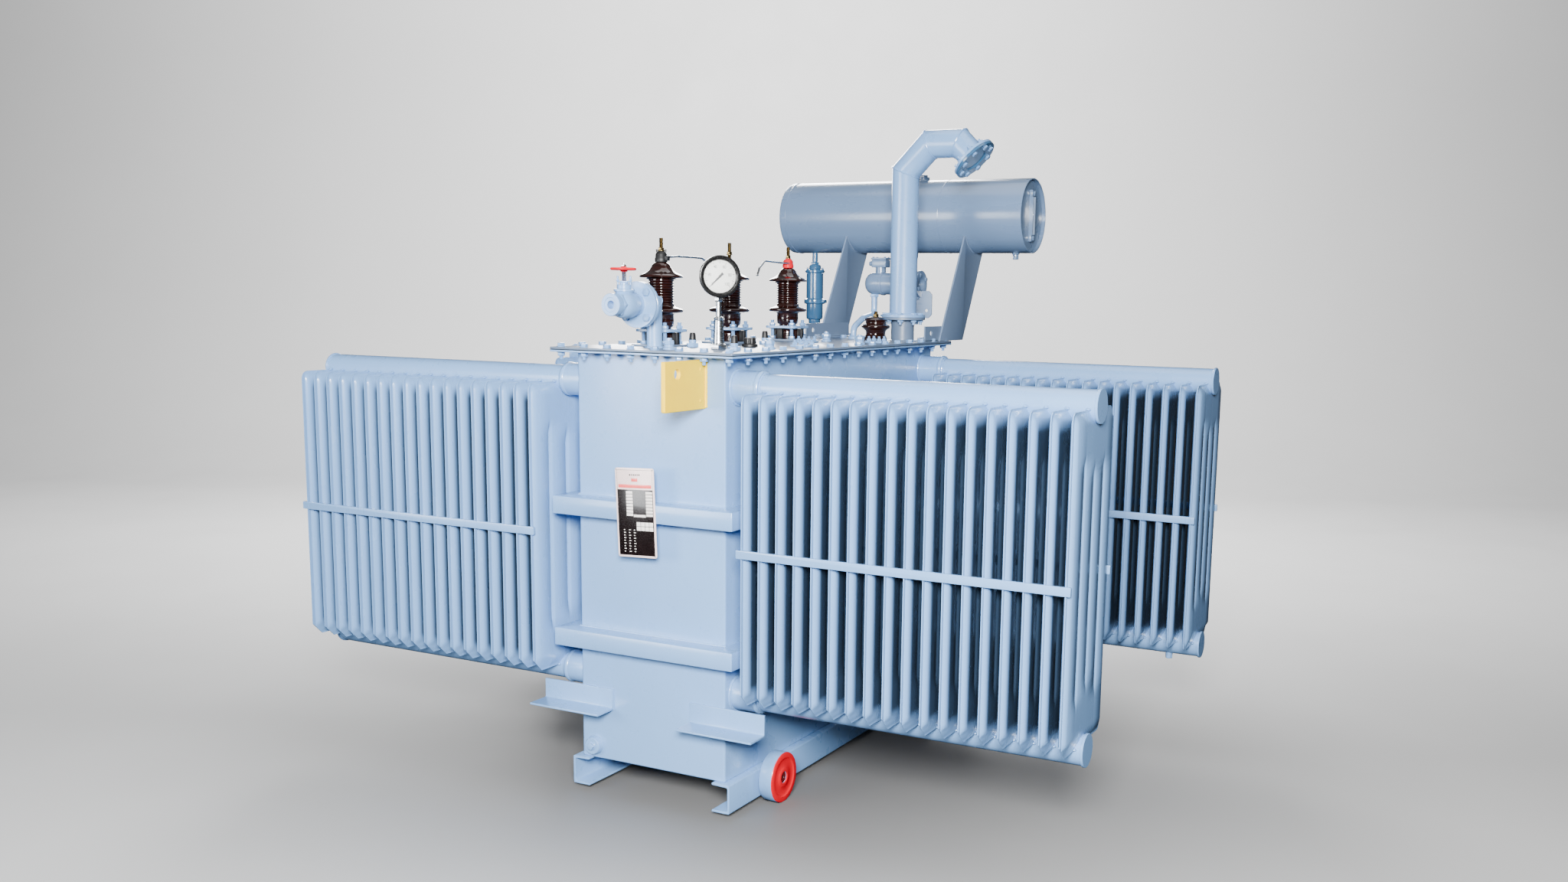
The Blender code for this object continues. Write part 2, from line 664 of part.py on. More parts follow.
def build_radiators():
    first = HALF_WIDTH + FIRST_FIN_OUT
    last = first + FIN_PITCH * (FIN_COUNT - 1)
    middle = (FIN_TOP + FIN_BOTTOM) / 2
    for end, sign_y in (("front", -1), ("rear", 1)):
        y_mid = sign_y * (HALF_LENGTH - HEADER_FROM_END)
        for side, sign_x in (("left", -1), ("right", 1)):
            shape = bmesh.new()
            for x in spread(first, last, FIN_COUNT):
                low, high = sorted((sign_x * (x - FIN_THICK / 2), sign_x * (x + FIN_THICK / 2)))
                add_prism(shape, fin_outline(y_mid), 0, low, high)
            fins = place(f"radiator_fins_{end}_{side}", shape, "enamel")
            bars = bmesh.new()
            x_low, x_high = sorted((sign_x * (first - FIN_THICK / 2 - BAR_LAP),
                                    sign_x * (last + FIN_THICK / 2 + BAR_LAP)))
            for edge in (-1, 1):
                inside = y_mid + edge * (FIN_WIDTH / 2 - BAR_LAP)
                outside = y_mid + edge * (FIN_WIDTH / 2 + BAR_THICK)
                y_low, y_high = sorted((inside, outside))
                add_box(bars, (x_low, y_low, middle - BAR_HEIGHT / 2),
                        (x_high, y_high, middle + BAR_HEIGHT / 2))
            join(fins, bars, "tie_bars")
            for level, z in (("upper", UPPER_HEADER_Z), ("lower", LOWER_HEADER_Z)):
                header = bmesh.new()
                profile = [(SLEEVE_RADIUS, GAP), (SLEEVE_RADIUS, SLEEVE_LENGTH),
                           (HEADER_RADIUS, SLEEVE_LENGTH),
                           (HEADER_RADIUS, last + HEADER_END - HALF_WIDTH)]
                turn = Matrix.Rotation(sign_x * math.pi / 2, 4, "Y")
                add_turning(header, profile, ROUND,
                            Matrix.Translation((sign_x * HALF_WIDTH, y_mid, z)) @ turn)
                place(f"{level}_header_{end}_{side}", header, "enamel")


# ---------------------------------------------------------------- high voltage bushings
def hv_profile():
    """The porcelain's outline from its oil end to its top, with two rain sheds."""
    seat = HV_SEAT_HEIGHT
    points = [(HV_TAIL_RADIUS, -HV_TAIL_DEPTH), (HV_TAIL_RADIUS, GAP), (HV_SEAT_RADIUS, GAP),
              (HV_SEAT_RADIUS, seat - 0.006), (HV_NECK_RADIUS, seat)]
    for height in HV_SHED_HEIGHTS:
        points += [(HV_NECK_RADIUS, height - 0.014), (HV_SHED_RADIUS, height - 0.003),
                   (HV_SHED_RADIUS, height + 0.003), (HV_NECK_RADIUS, height + 0.014)]
    return points + [(HV_NECK_RADIUS, HV_TOP)]


def build_hv_bushings():
    for step in range(3):
        y = FRONT + HV_FROM_FRONT + HV_PITCH * step
        seat = (HV_X, y, COVER_TOP)
        porcelain = bmesh.new()
        add_turning(porcelain, hv_profile(), ROUND)
        place(f"hv_porcelain_{step + 1}", porcelain, "brown_glaze", seat)

        terminal = bmesh.new()
        add_turning(terminal, [(HV_CAP_RADIUS, HV_TOP + GAP), (HV_CAP_RADIUS, HV_TOP + HV_CAP_HEIGHT - 0.006),
                               (HV_CAP_RADIUS - 0.006, HV_TOP + HV_CAP_HEIGHT),
                               (HV_ROD_RADIUS, HV_TOP + HV_CAP_HEIGHT),
                               (HV_ROD_RADIUS, HV_ROD_TOP)], 16)
        rod = place(f"hv_terminal_{step + 1}", terminal, "brass", seat)
        horn_z = HV_TOP + HV_CAP_HEIGHT / 2
        if step == 0:
            horn = bmesh.new()
            add_rod(horn, (0, HV_CAP_RADIUS / 2, horn_z), (0, FIRST_HORN, horn_z), HORN_RADIUS, 8)
            join(rod, horn, "arcing_horn")
        if step == 2:
            horn = bmesh.new()
            path = [(0, -HV_CAP_RADIUS / 2, horn_z), (0, -LAST_HORN, horn_z),
                    (0, -LAST_HORN - LAST_HORN_DROP, horn_z - LAST_HORN_DROP)]
            add_bent_pipe(horn, path, HORN_RADIUS, 8)
            join(rod, horn, "arcing_horn")

        ring = bmesh.new()
        base = HV_SEAT_HEIGHT + GAP
        add_turning(ring, [(HV_NECK_RADIUS + GAP, base), (CLAMP_HALF + 0.006, base),
                           (CLAMP_HALF + 0.006, base + CLAMP_THICK),
                           (HV_NECK_RADIUS + GAP, base + CLAMP_THICK)],
                    ROUND, ring=True)
        clamp = place(f"hv_clamp_{step + 1}", ring, "enamel", seat)
        studs = bmesh.new()
        for spot in regular(4, CLAMP_HALF, start=math.pi / 4):
            add_rod(studs, (*spot, GAP), (*spot, base + CLAMP_THICK + STUD_ABOVE), STUD_RADIUS, 6)
        join(clamp, studs, "clamp_studs")


def build_neutral_bushing():
    seat = (NEUTRAL_X, FRONT + NEUTRAL_FROM_FRONT, COVER_TOP)
    shape = bmesh.new()
    top = NEUTRAL_HEIGHT
    tail = NEUTRAL_RADIUS * 0.5 - 0.002
    add_turning(shape, [(tail, -0.050), (tail, GAP), (NEUTRAL_RADIUS * 0.80, GAP),
                        (NEUTRAL_RADIUS * 0.72, top * 0.30),
                        (NEUTRAL_RADIUS * 0.70, top * 0.50), (NEUTRAL_RADIUS, top * 0.62),
                        (NEUTRAL_RADIUS * 0.96, top * 0.74), (NEUTRAL_RADIUS * 0.55, top * 0.94),
                        (NEUTRAL_RADIUS * 0.35, top)], ROUND)
    place("neutral_bushing", shape, "brown_glaze", seat)


# ---------------------------------------------------------------- fittings on the cover
def build_vent_pipe():
    x, y = VENT_X, FRONT + VENT_FROM_FRONT
    top = COVER_TOP + VENT_STUB_HEIGHT
    start = top + GAP
    bend = COVER_TOP + VENT_TOP - VENT_RISE
    mouth = VENT_MOUTH * math.sqrt(0.5)
    path = [(x, y, start), (x, y, bend), (x + VENT_RISE, y, bend + VENT_RISE),
            (x + VENT_RISE + VENT_RUN, y, bend + VENT_RISE),
            (x + VENT_RISE + VENT_RUN + mouth, y, bend + VENT_RISE - mouth)]
    pipe = bmesh.new()
    add_bent_pipe(pipe, path, VENT_RADIUS, ROUND, VENT_RADIUS - VENT_WALL)
    vent = place("vent_pipe", pipe, "enamel")
    flanges = bmesh.new()
    bore = VENT_RADIUS - VENT_WALL / 2
    add_turning(flanges, [(bore, start), (VENT_FLANGE_RADIUS, start),
                          (VENT_FLANGE_RADIUS, start + VENT_FLANGE_THICK),
                          (bore, start + VENT_FLANGE_THICK)], ROUND, Matrix.Translation((x, y, 0)), ring=True)
    outlet = Matrix.Translation(path[-1]) @ Matrix.Rotation(math.radians(135), 4, "Y")
    add_turning(flanges, [(bore, -DISC_THICK), (DISC_RADIUS, -DISC_THICK), (DISC_RADIUS, 0), (bore, 0)],
                ROUND, outlet, ring=True)
    join(vent, flanges, "vent_flanges")

    disc = bmesh.new()
    add_turning(disc, [(DISC_RADIUS, GAP), (DISC_RADIUS, GAP + DISC_THICK),
                       (DISC_RADIUS * 0.62, GAP + DISC_THICK), (DISC_RADIUS * 0.60, GAP + 0.003),
                       (0, GAP + 0.003)], ROUND, outlet)
    face = place("burst_disc", disc, "enamel_dark")
    bolts = bmesh.new()
    for spot in regular(8, DISC_RADIUS * 0.82, start=math.pi / 8):
        add_turning(bolts, [(0.0055, 0.006), (0.0055, 0.020)], 6, outlet @ Matrix.Translation((*spot, 0)))
    join(face, bolts, "disc_bolts")


def build_valve():
    x = VALVE_X
    y = FRONT + VALVE_FROM_FRONT
    z = COVER_TOP + VALVE_AXIS_UP
    mouth_y = y - VALVE_MOUTH_OUT
    stem_y = y - VALVE_STEM_OUT
    flange_y = y - VALVE_FLANGE_OUT
    riser = bmesh.new()
    path = [(x, y, COVER_TOP + GAP), (x, y, z), (x, flange_y + GAP, z)]
    add_bent_pipe(riser, path, VALVE_PIPE_RADIUS, 12, VALVE_BORE)
    pipe = place("valve_riser", riser, "enamel")
    back = bmesh.new()
    along = Matrix.Translation((x, flange_y, z)) @ Matrix.Rotation(math.pi / 2, 4, "X")
    bore = (VALVE_BORE + VALVE_PIPE_RADIUS) / 2
    add_turning(back, [(bore, -VALVE_FLANGE_THICK), (VALVE_FLANGE_RADIUS, -VALVE_FLANGE_THICK),
                       (VALVE_FLANGE_RADIUS, -GAP), (bore, -GAP)], ROUND, along, ring=True)
    join(pipe, back, "riser_flange")

    length = flange_y - mouth_y
    body = bmesh.new()
    half = flange_y - stem_y
    add_turning(body, [(VALVE_BORE, 0), (VALVE_FLANGE_RADIUS, 0), (VALVE_FLANGE_RADIUS, VALVE_FLANGE_THICK),
                       (VALVE_BODY_RADIUS * 0.85, VALVE_FLANGE_THICK + 0.006),
                       (VALVE_BODY_RADIUS, half - 0.012),
                       (VALVE_BODY_RADIUS, half + 0.012), (VALVE_MOUTH_RADIUS * 0.85, half + 0.026),
                       (VALVE_MOUTH_RADIUS, half + 0.030), (VALVE_MOUTH_RADIUS, length),
                       (VALVE_BORE, length)],
                ROUND, along, ring=True)
    valve = place("valve_body", body, "enamel")
    bonnet = bmesh.new()
    add_turning(bonnet, [(BONNET_RADIUS, 0.018), (BONNET_RADIUS, BONNET_UP),
                         (BONNET_RADIUS * 0.7, BONNET_UP + 0.004),
                         (BONNET_RADIUS * 0.6, BONNET_UP + 0.014)], 16, Matrix.Translation((x, stem_y, z)))
    join(valve, bonnet, "bonnet")
    passage = bmesh.new()
    stem_hole = STEM_RADIUS + STEM_CLEARANCE
    add_turning(passage, [(stem_hole, 0), (stem_hole, BONNET_UP + 0.030)], 16,
                Matrix.Translation((x, stem_y, z)))
    cut(valve, passage, "stem_passage")
    slot = bmesh.new()
    pocket = GATE_RADIUS + STEM_CLEARANCE
    half_gate = GATE_THICK / 2 + STEM_CLEARANCE
    slot_top = z + GATE_LIFT + GATE_RADIUS + STEM_CLEARANCE * 2
    add_box(slot, (x - pocket, stem_y - half_gate, z - pocket), (x + pocket, stem_y + half_gate, slot_top))
    cut(valve, slot, "gate_slot")

    gate = bmesh.new()
    add_rod(gate, (x, stem_y - GATE_THICK / 2, z), (x, stem_y + GATE_THICK / 2, z),
            GATE_RADIUS - STEM_CLEARANCE, ROUND)
    wedge = place("valve_gate", gate, "brass")
    thread = bmesh.new()
    add_rod(thread, (x, stem_y, z - 2 * GATE_RADIUS), (x, stem_y, z + 2 * GATE_RADIUS),
            SCREW_RADIUS + STEM_CLEARANCE)
    cut(wedge, thread, "screw_hole")

    stem_bottom = GATE_LIFT + GATE_RADIUS + STEM_CLEARANCE * 4
    wheel_z = HANDWHEEL_UP - VALVE_AXIS_UP
    wheel = bmesh.new()
    add_turning(wheel, [(SCREW_RADIUS, GATE_RADIUS - SCREW_BITE), (SCREW_RADIUS, stem_bottom),
                        (STEM_RADIUS, stem_bottom), (STEM_RADIUS, wheel_z - 0.010),
                        (HUB_RADIUS, wheel_z - 0.010),
                        (HUB_RADIUS, wheel_z + 0.006), (STEM_RADIUS, wheel_z + 0.008),
                        (STEM_RADIUS * 0.8, wheel_z + 0.014)], 12)
    handwheel = place("valve_handwheel", wheel, "red_paint", (x, stem_y, z))
    rim = bmesh.new()
    ring = [(HANDWHEEL_RADIUS - HANDWHEEL_TUBE + HANDWHEEL_TUBE * math.cos(a),
             wheel_z + HANDWHEEL_TUBE * math.sin(a))
            for a in spread(0, 2 * math.pi, 6)[:-1]]
    add_turning(rim, ring, ROUND, ring=True)
    join(handwheel, rim, "wheel_rim")
    spokes = bmesh.new()
    for angle in spread(0, 2 * math.pi, 6)[:-1]:
        tip = HANDWHEEL_RADIUS - HANDWHEEL_TUBE
        root = HUB_RADIUS * 0.8
        add_rod(spokes, (root * math.cos(angle), root * math.sin(angle), wheel_z - 0.002),
                (tip * math.cos(angle), tip * math.sin(angle), wheel_z), 0.003, 6)
    cap = bmesh.new()
    add_turning(cap, [(HUB_RADIUS * 0.9, wheel_z - 0.008), (HUB_RADIUS * 0.9, wheel_z + 0.004)], 12)
    join(handwheel, spokes, "wheel_spokes")
    join(handwheel, cap, "wheel_hub")


def gauge_frame():
    """The thermometer's own frame: Z out of its dial, Y up."""
    centre = Vector((GAUGE_X, FRONT + GAUGE_FROM_FRONT, COVER_TOP + GAUGE_UP))
    return Matrix.Translation(centre) @ Matrix.Rotation(GAUGE_TURN, 4, "Z") @ Matrix.Rotation(math.pi / 2,
                                                                                              4, "X")


def build_thermometer():
    frame = gauge_frame()
    front = GAUGE_DEPTH / 2
    inner = GAUGE_RADIUS - GAUGE_RIM
    shape = bmesh.new()
    add_turning(shape, [(0, -front), (GAUGE_RADIUS * 0.7, -front), (GAUGE_RADIUS * 0.92, -front + 0.008),
                        (GAUGE_RADIUS * 0.92, front - 0.012), (GAUGE_RADIUS, front - 0.010),
                        (GAUGE_RADIUS, front),
                        (inner, front), (inner, front - DIAL_SINK), (0, front - DIAL_SINK)], ROUND_WHEEL,
                        frame)
    case = place("thermometer_case", shape, "black_plastic")
    low = GAUGE_UP - GAUGE_RADIUS * 0.90
    foot = Matrix.Translation((GAUGE_X, FRONT + GAUGE_FROM_FRONT, COVER_TOP))
    stem = bmesh.new()
    add_turning(stem, [(GAUGE_STEM_TOP * 0.6, -POCKET_DEPTH), (GAUGE_STEM_TOP * 0.6, -0.008),
                       (GAUGE_STEM_TOP, -0.008),
                       (GAUGE_STEM_TOP, GAP), (GAUGE_STEM_BASE + 0.004, GAP),
                       (GAUGE_STEM_BASE + 0.004, 0.016),
                       (GAUGE_STEM_BASE * 0.6, 0.022), (GAUGE_STEM_TOP * 0.55, low - 0.016),
                       (GAUGE_STEM_TOP * 0.75, low - 0.010), (GAUGE_STEM_TOP * 0.75, low + 0.012)], 12, foot)
    join(case, stem, "thermometer_stem")

    dial = bmesh.new()
    seat = front - DIAL_SINK + GAP
    add_turning(dial, [(0, seat), (inner - GAP, seat), (inner - GAP, seat + DIAL_THICK),
                       (0, seat + DIAL_THICK)],
                ROUND_WHEEL, frame)
    place("thermometer_dial", dial, "dial_white")

    needle = bmesh.new()
    add_prism(needle, [(-0.010, -0.0022), (NEEDLE_LENGTH, -0.0006), (NEEDLE_LENGTH, 0.0006),
                       (-0.010, 0.0022)],
              2, 0.0, NEEDLE_THICK)
    pointer = place("thermometer_needle", needle, "black_plastic")
    base = seat + DIAL_THICK + GAP
    placed = frame @ Matrix.Translation((0, 0, base)) @ Matrix.Rotation(NEEDLE_REST, 4, "Z")
    pointer.location = placed.translation
    pointer.rotation_euler = placed.to_euler()
    hub = bmesh.new()
    add_turning(hub, [(0.0045, 0), (0.0045, NEEDLE_THICK * 1.8)], 16)
    join(pointer, hub, "needle_hub")

    glass = bmesh.new()
    near = front - GLASS_SINK
    add_turning(glass, [(0, near - GLASS_THICK), (inner - GAP, near - GLASS_THICK), (inner - GAP, near),
                        (0, near)],
                ROUND_WHEEL, frame)
    place("thermometer_glass", glass, "glass")


def build_tap_changer():
    foot = (TAP_X, FRONT + TAP_FROM_FRONT, COVER_TOP)
    knob = bmesh.new()
    under = -COVER_THICK - TAP_DRUM_DEPTH
    add_turning(knob, [(TAP_DRUM_RADIUS, under - TAP_DRUM_HEIGHT), (TAP_DRUM_RADIUS, under),
                       (TAP_SHAFT_RADIUS, under),
                       (TAP_SHAFT_RADIUS, GAP), (TAP_KNOB_RADIUS, GAP),
                       (TAP_KNOB_RADIUS, TAP_KNOB_HEIGHT * 0.4),
                       (TAP_KNOB_RADIUS * 0.8, TAP_KNOB_HEIGHT * 0.5),
                       (TAP_KNOB_RADIUS * 0.7, TAP_KNOB_HEIGHT)], 16)
    handle = place("tap_changer", knob, "black_plastic", foot)
    grip = bmesh.new()
    add_box(grip, (-TAP_KNOB_RADIUS * 1.3, -0.004, TAP_KNOB_HEIGHT * 0.6),
            (TAP_KNOB_RADIUS * 1.3, 0.004, TAP_KNOB_HEIGHT * 1.15))
    join(handle, grip, "knob_grip")


# ---------------------------------------------------------------- conservator and its fittings
def build_conservator():
    y, z = CONSERVATOR_Y, CONSERVATOR_Z
    length = CONSERVATOR_RIGHT - CONSERVATOR_LEFT
    along = Matrix.Translation((CONSERVATOR_LEFT, y, z)) @ Matrix.Rotation(math.pi / 2, 4, "Y")
    r = CONSERVATOR_RADIUS
    inner = r - CONSERVATOR_WALL
    shape = bmesh.new()
    add_turning(shape, [(0, 0), (r * 0.90, 0), (r * 0.975, 0.006), (r, 0.020), (r, length), (inner, length),
                        (inner, 0.008), (0, 0.008)], ROUND_DRUM, along)
    shell = place("conservator_shell", shape, "enamel")
    stubs = bmesh.new()
    cap = z + r + FILLER_HEIGHT * 0.6
    add_turning(stubs, [(FILLER_RADIUS * 0.8, z + inner), (FILLER_RADIUS * 0.8, cap), (FILLER_RADIUS, cap),
                        (FILLER_RADIUS, cap + FILLER_HEIGHT * 0.5),
                        (FILLER_RADIUS * 0.7, cap + FILLER_HEIGHT * 0.7)], 16,
                        Matrix.Translation((FILLER_X, y, 0)))
    add_rod(stubs, (DRAIN_X, y, z - inner), (DRAIN_X, y, z - r - DRAIN_LENGTH), DRAIN_RADIUS, 8)
    join(shell, stubs, "shell_stubs")

    disc = bmesh.new()
    face = CONSERVATOR_RIGHT - END_DISC_SINK
    turn = Matrix.Translation((face, y, z)) @ Matrix.Rotation(math.pi / 2, 4, "Y")
    add_turning(disc, [(0, -END_DISC_THICK), (inner - GAP, -END_DISC_THICK), (inner - GAP, 0), (0, 0)],
                ROUND_DRUM, turn)
    end = place("conservator_end_disc", disc, "enamel")
    blocks = bmesh.new()
    for way in (-1, 1):
        middle = z + way * SIGHT_HEIGHT / 2
        add_box(blocks, (face - END_DISC_THICK / 2, y - SIGHT_BLOCK / 2, middle - SIGHT_BLOCK / 2),
                (face + SIGHT_BLOCK * 0.8, y + SIGHT_BLOCK / 2, middle + SIGHT_BLOCK / 2))
    join(end, blocks, "gauge_blocks")

    tube = bmesh.new()
    reach = SIGHT_HEIGHT / 2 - SIGHT_BLOCK / 2 - GAP
    add_rod(tube, (face + SIGHT_BLOCK * 0.4, y, z - reach), (face + SIGHT_BLOCK * 0.4, y, z + reach),
            SIGHT_RADIUS, 16)
    place("oil_sight_glass", tube, "glass")


def build_legs():
    low = COVER_TOP + GAP
    y, z, r = CONSERVATOR_Y, CONSERVATOR_Z, CONSERVATOR_RADIUS + GAP
    start = math.atan2(-math.sqrt(r * r - (FRONT + LEG_TOP_FRONT - y) ** 2), FRONT + LEG_TOP_FRONT - y)
    stop = math.atan2(-math.sqrt(r * r - (FRONT + LEG_TOP_REAR - y) ** 2), FRONT + LEG_TOP_REAR - y)
    # The saddle's chords lie outside the shell when they are drawn at the radius over cos(half a step).
    saddle_steps = 10
    half = abs(stop - start) / saddle_steps / 2
    saddle = [(y + r / math.cos(half) * math.cos(a), z + r / math.cos(half) * math.sin(a))
              for a in spread(start, stop, saddle_steps + 1)]
    for name, x, inward in (("conservator_leg_left", LEG_X[0], 1), ("conservator_leg_right", LEG_X[1], -1)):
        outline = [(FRONT + LEG_FOOT_REAR, low), (FRONT + LEG_FOOT_FRONT, low)] + saddle
        shape = bmesh.new()
        add_prism(shape, outline, 0, x - LEG_THICK / 2, x + LEG_THICK / 2)
        leg = place(name, shape, "enamel")
        rail = bmesh.new()
        face = x + inward * (LEG_THICK / 2 - 0.001)
        x_low, x_high = sorted((face, face + inward * (RAIL_THICK + 0.001)))
        add_box(rail, (x_low, FRONT + RAIL_FRONT, low), (x_high, FRONT + RAIL_REAR, low + RAIL_HEIGHT))
        flat = bmesh.new()
        x_low, x_high = sorted((face, face + inward * RAIL_WIDTH))
        add_box(flat, (x_low, FRONT + RAIL_FRONT, low), (x_high, FRONT + RAIL_REAR, low + RAIL_THICK))
        join(leg, rail, "foot_upright")
        join(leg, flat, "foot_flat")
        reliefs = bmesh.new()
        for centre in rim_bolts():
            if abs(centre[0] - x) < RAIL_WIDTH + BOLT_RADIUS and centre[1] > FRONT + RAIL_FRONT - BOLT_RADIUS:
                add_prism(reliefs, regular(8, BOLT_RADIUS + BOLT_RELIEF, centre), 2, COVER_TOP - COVER_THICK,
                          COVER_TOP + BOLT_HEAD + BOLT_RELIEF)
        cut(leg, reliefs, "bolt_reliefs")


def build_breather():
    y = CONSERVATOR_Y
    shape = bmesh.new()
    r = BREATHER_RADIUS
    top, band, bottom = COVER_TOP + BREATHER_TOP, COVER_TOP + BREATHER_BAND_UP, COVER_TOP + BREATHER_BOTTOM
    shell_under = CONSERVATOR_Z - CONSERVATOR_RADIUS - GAP
    add_turning(shape, [(r * 0.7, bottom), (r * 0.9, bottom + 0.012), (r * 0.9, band - 0.012),
                        (BREATHER_BAND, band - 0.012),
                        (BREATHER_BAND, band + 0.006), (r, band + 0.012), (r, top - 0.030),
                        (r * 1.18, top - 0.028),
                        (r * 1.18, top - 0.010), (BREATHER_PIPE * 1.6, top), (BREATHER_PIPE, top + 0.010),
                        (BREATHER_PIPE, shell_under)], ROUND, Matrix.Translation((BREATHER_X, y, 0)))
    place("silica_breather", shape, "enamel_dark")


def build_gas_relay():
    y, z = FRONT + RELAY_FROM_FRONT, COVER_TOP + RELAY_UP
    left, right = RELAY_X
    length = right - left
    along = Matrix.Translation((left, y, z)) @ Matrix.Rotation(math.pi / 2, 4, "Y")
    r = RELAY_RADIUS
    shape = bmesh.new()
    add_turning(shape, [(0, 0), (r * 0.72, 0), (r * 0.95, 0.012), (r, 0.030), (r, length * 0.45),
                        (r * 0.8, length * 0.5),
                        (r * 0.8, length - RELAY_FLANGE_THICK), (RELAY_FLANGE, length - RELAY_FLANGE_THICK),
                        (RELAY_FLANGE, length), (r * 0.45, length), (r * 0.45, length - 0.014),
                        (0, length - 0.014)],
                ROUND, along)
    relay = place("gas_relay", shape, "enamel")
    width, depth, height = RELAY_BOX
    neck = bmesh.new()
    add_rod(neck, (RELAY_BOX_X, y, z + r * 0.8), (RELAY_BOX_X, y, z + r + RELAY_NECK + 0.004), 0.012, 12)
    join(relay, neck, "terminal_neck")
    box = bmesh.new()
    add_box(box, (RELAY_BOX_X - width / 2, y - depth / 2, z + r + RELAY_NECK),
            (RELAY_BOX_X + width / 2, y + depth / 2, z + r + RELAY_NECK + height))
    join(relay, box, "terminal_box")
    hanger = bmesh.new()
    add_box(hanger, (right - 0.034, y - 0.003, z - 0.116), (right + 0.040, y + 0.003, z - r * 0.6))
    join(relay, hanger, "relay_plate")

    riser = bmesh.new()
    reach = CONSERVATOR_Y - RISER_IN
    under = CONSERVATOR_Z - math.sqrt(CONSERVATOR_RADIUS ** 2 - RISER_IN ** 2)
    lift = z + r + 0.020
    add_bent_pipe(riser, [(RISER_X, y, z + r * 0.6), (RISER_X, y, lift), (RISER_X, reach, lift + 0.030),
                          (RISER_X, reach, under - RISER_SHORT)], FEED_RADIUS, 12)
    join(relay, riser, "riser_pipe")

    feed = bmesh.new()
    cover_y = FRONT + FEED_COVER_FROM_FRONT
    join_z = z - r - GAP
    path = [(FEED_X, cover_y, COVER_TOP + GAP), (FEED_X, cover_y, COVER_TOP + 0.022),
            (FEED_X, y, COVER_TOP + FEED_LOW + 0.030), (FEED_X, y, join_z)]
    add_bent_pipe(feed, path, FEED_RADIUS, 12, FEED_RADIUS - 0.003)
    pipe = place("oil_feed_pipe", feed, "enamel")
    collar = bmesh.new()
    add_turning(collar, [(FEED_RADIUS - 0.002, COVER_TOP + GAP), (FEED_RADIUS + 0.008, COVER_TOP + GAP),
                         (FEED_RADIUS + 0.008, COVER_TOP + 0.008),
                         (FEED_RADIUS - 0.002, COVER_TOP + 0.008)], 12,
                Matrix.Translation((FEED_X, cover_y, 0)), ring=True)
    join(pipe, collar, "feed_collar")


# ---------------------------------------------------------------- lugs, plates and low voltage side
def build_lifting_lugs():
    top = RIM_TOP - RIM_THICK - LUG_DOWN
    for name, end in (("lifting_lug_front", -1), ("lifting_lug_rear", 1)):
        wall = end * (HALF_LENGTH + GAP)
        tip = end * (HALF_LENGTH + LUG_REACH)
        x = -end * LUG_X
        outline = [(wall, top - LUG_HEIGHT), (tip, top - LUG_HEIGHT), (tip, top), (wall, top)]
        shape = bmesh.new()
        add_prism(shape, outline, 0, x - LUG_THICK / 2, x + LUG_THICK / 2)
        lug = place(name, shape, "yellow_paint")
        hole = bmesh.new()
        centre_y, centre_z = tip - end * LUG_HOLE_IN, top - LUG_HOLE_DOWN
        add_rod(hole, (x - LUG_THICK, centre_y, centre_z), (x + LUG_THICK, centre_y, centre_z), LUG_HOLE, 16)
        cut(lug, hole, "shackle_hole")


def build_rating_plate():
    band = FRONT - BAND_DEPTH - GAP
    shape = bmesh.new()
    add_box(shape, (-PLATE_WIDTH / 2, -PLATE_THICK, -PLATE_HEIGHT / 2),
            (PLATE_WIDTH / 2, 0, PLATE_HEIGHT / 2))
    place("rating_plate", shape, "label_black", (PLATE_X, band, BASE + PLATE_UP), (0, PLATE_LEAN, 0))


def build_lv_terminals():
    z = LV_Z
    wall = -HALF_WIDTH - GAP
    shape = bmesh.new()
    add_box(shape, (wall - LV_PLATE_THICK, -LV_PLATE_LENGTH / 2, z - LV_PLATE_HEIGHT / 2),
            (wall, LV_PLATE_LENGTH / 2, z + LV_PLATE_HEIGHT / 2))
    block = place("lv_terminal_block", shape, "resin")
    palms = LV_PALM_PITCH * (LV_PALM_COUNT - 1) / 2
    bars = bmesh.new()
    holes = bmesh.new()
    tip = wall - LV_PLATE_THICK - LV_PALM_OUT
    for y in spread(-palms, palms, LV_PALM_COUNT):
        add_box(bars, (tip, y - LV_PALM_WIDTH / 2, z - LV_PALM_THICK / 2),
                (wall + LV_PALM_IN, y + LV_PALM_WIDTH / 2, z + LV_PALM_THICK / 2))
        x = tip + LV_HOLE_IN
        add_rod(holes, (x, y, z - LV_PALM_THICK), (x, y, z + LV_PALM_THICK), LV_HOLE_RADIUS, 12)
    join(block, bars, "palms")
    cut(block, holes, "palm_holes")


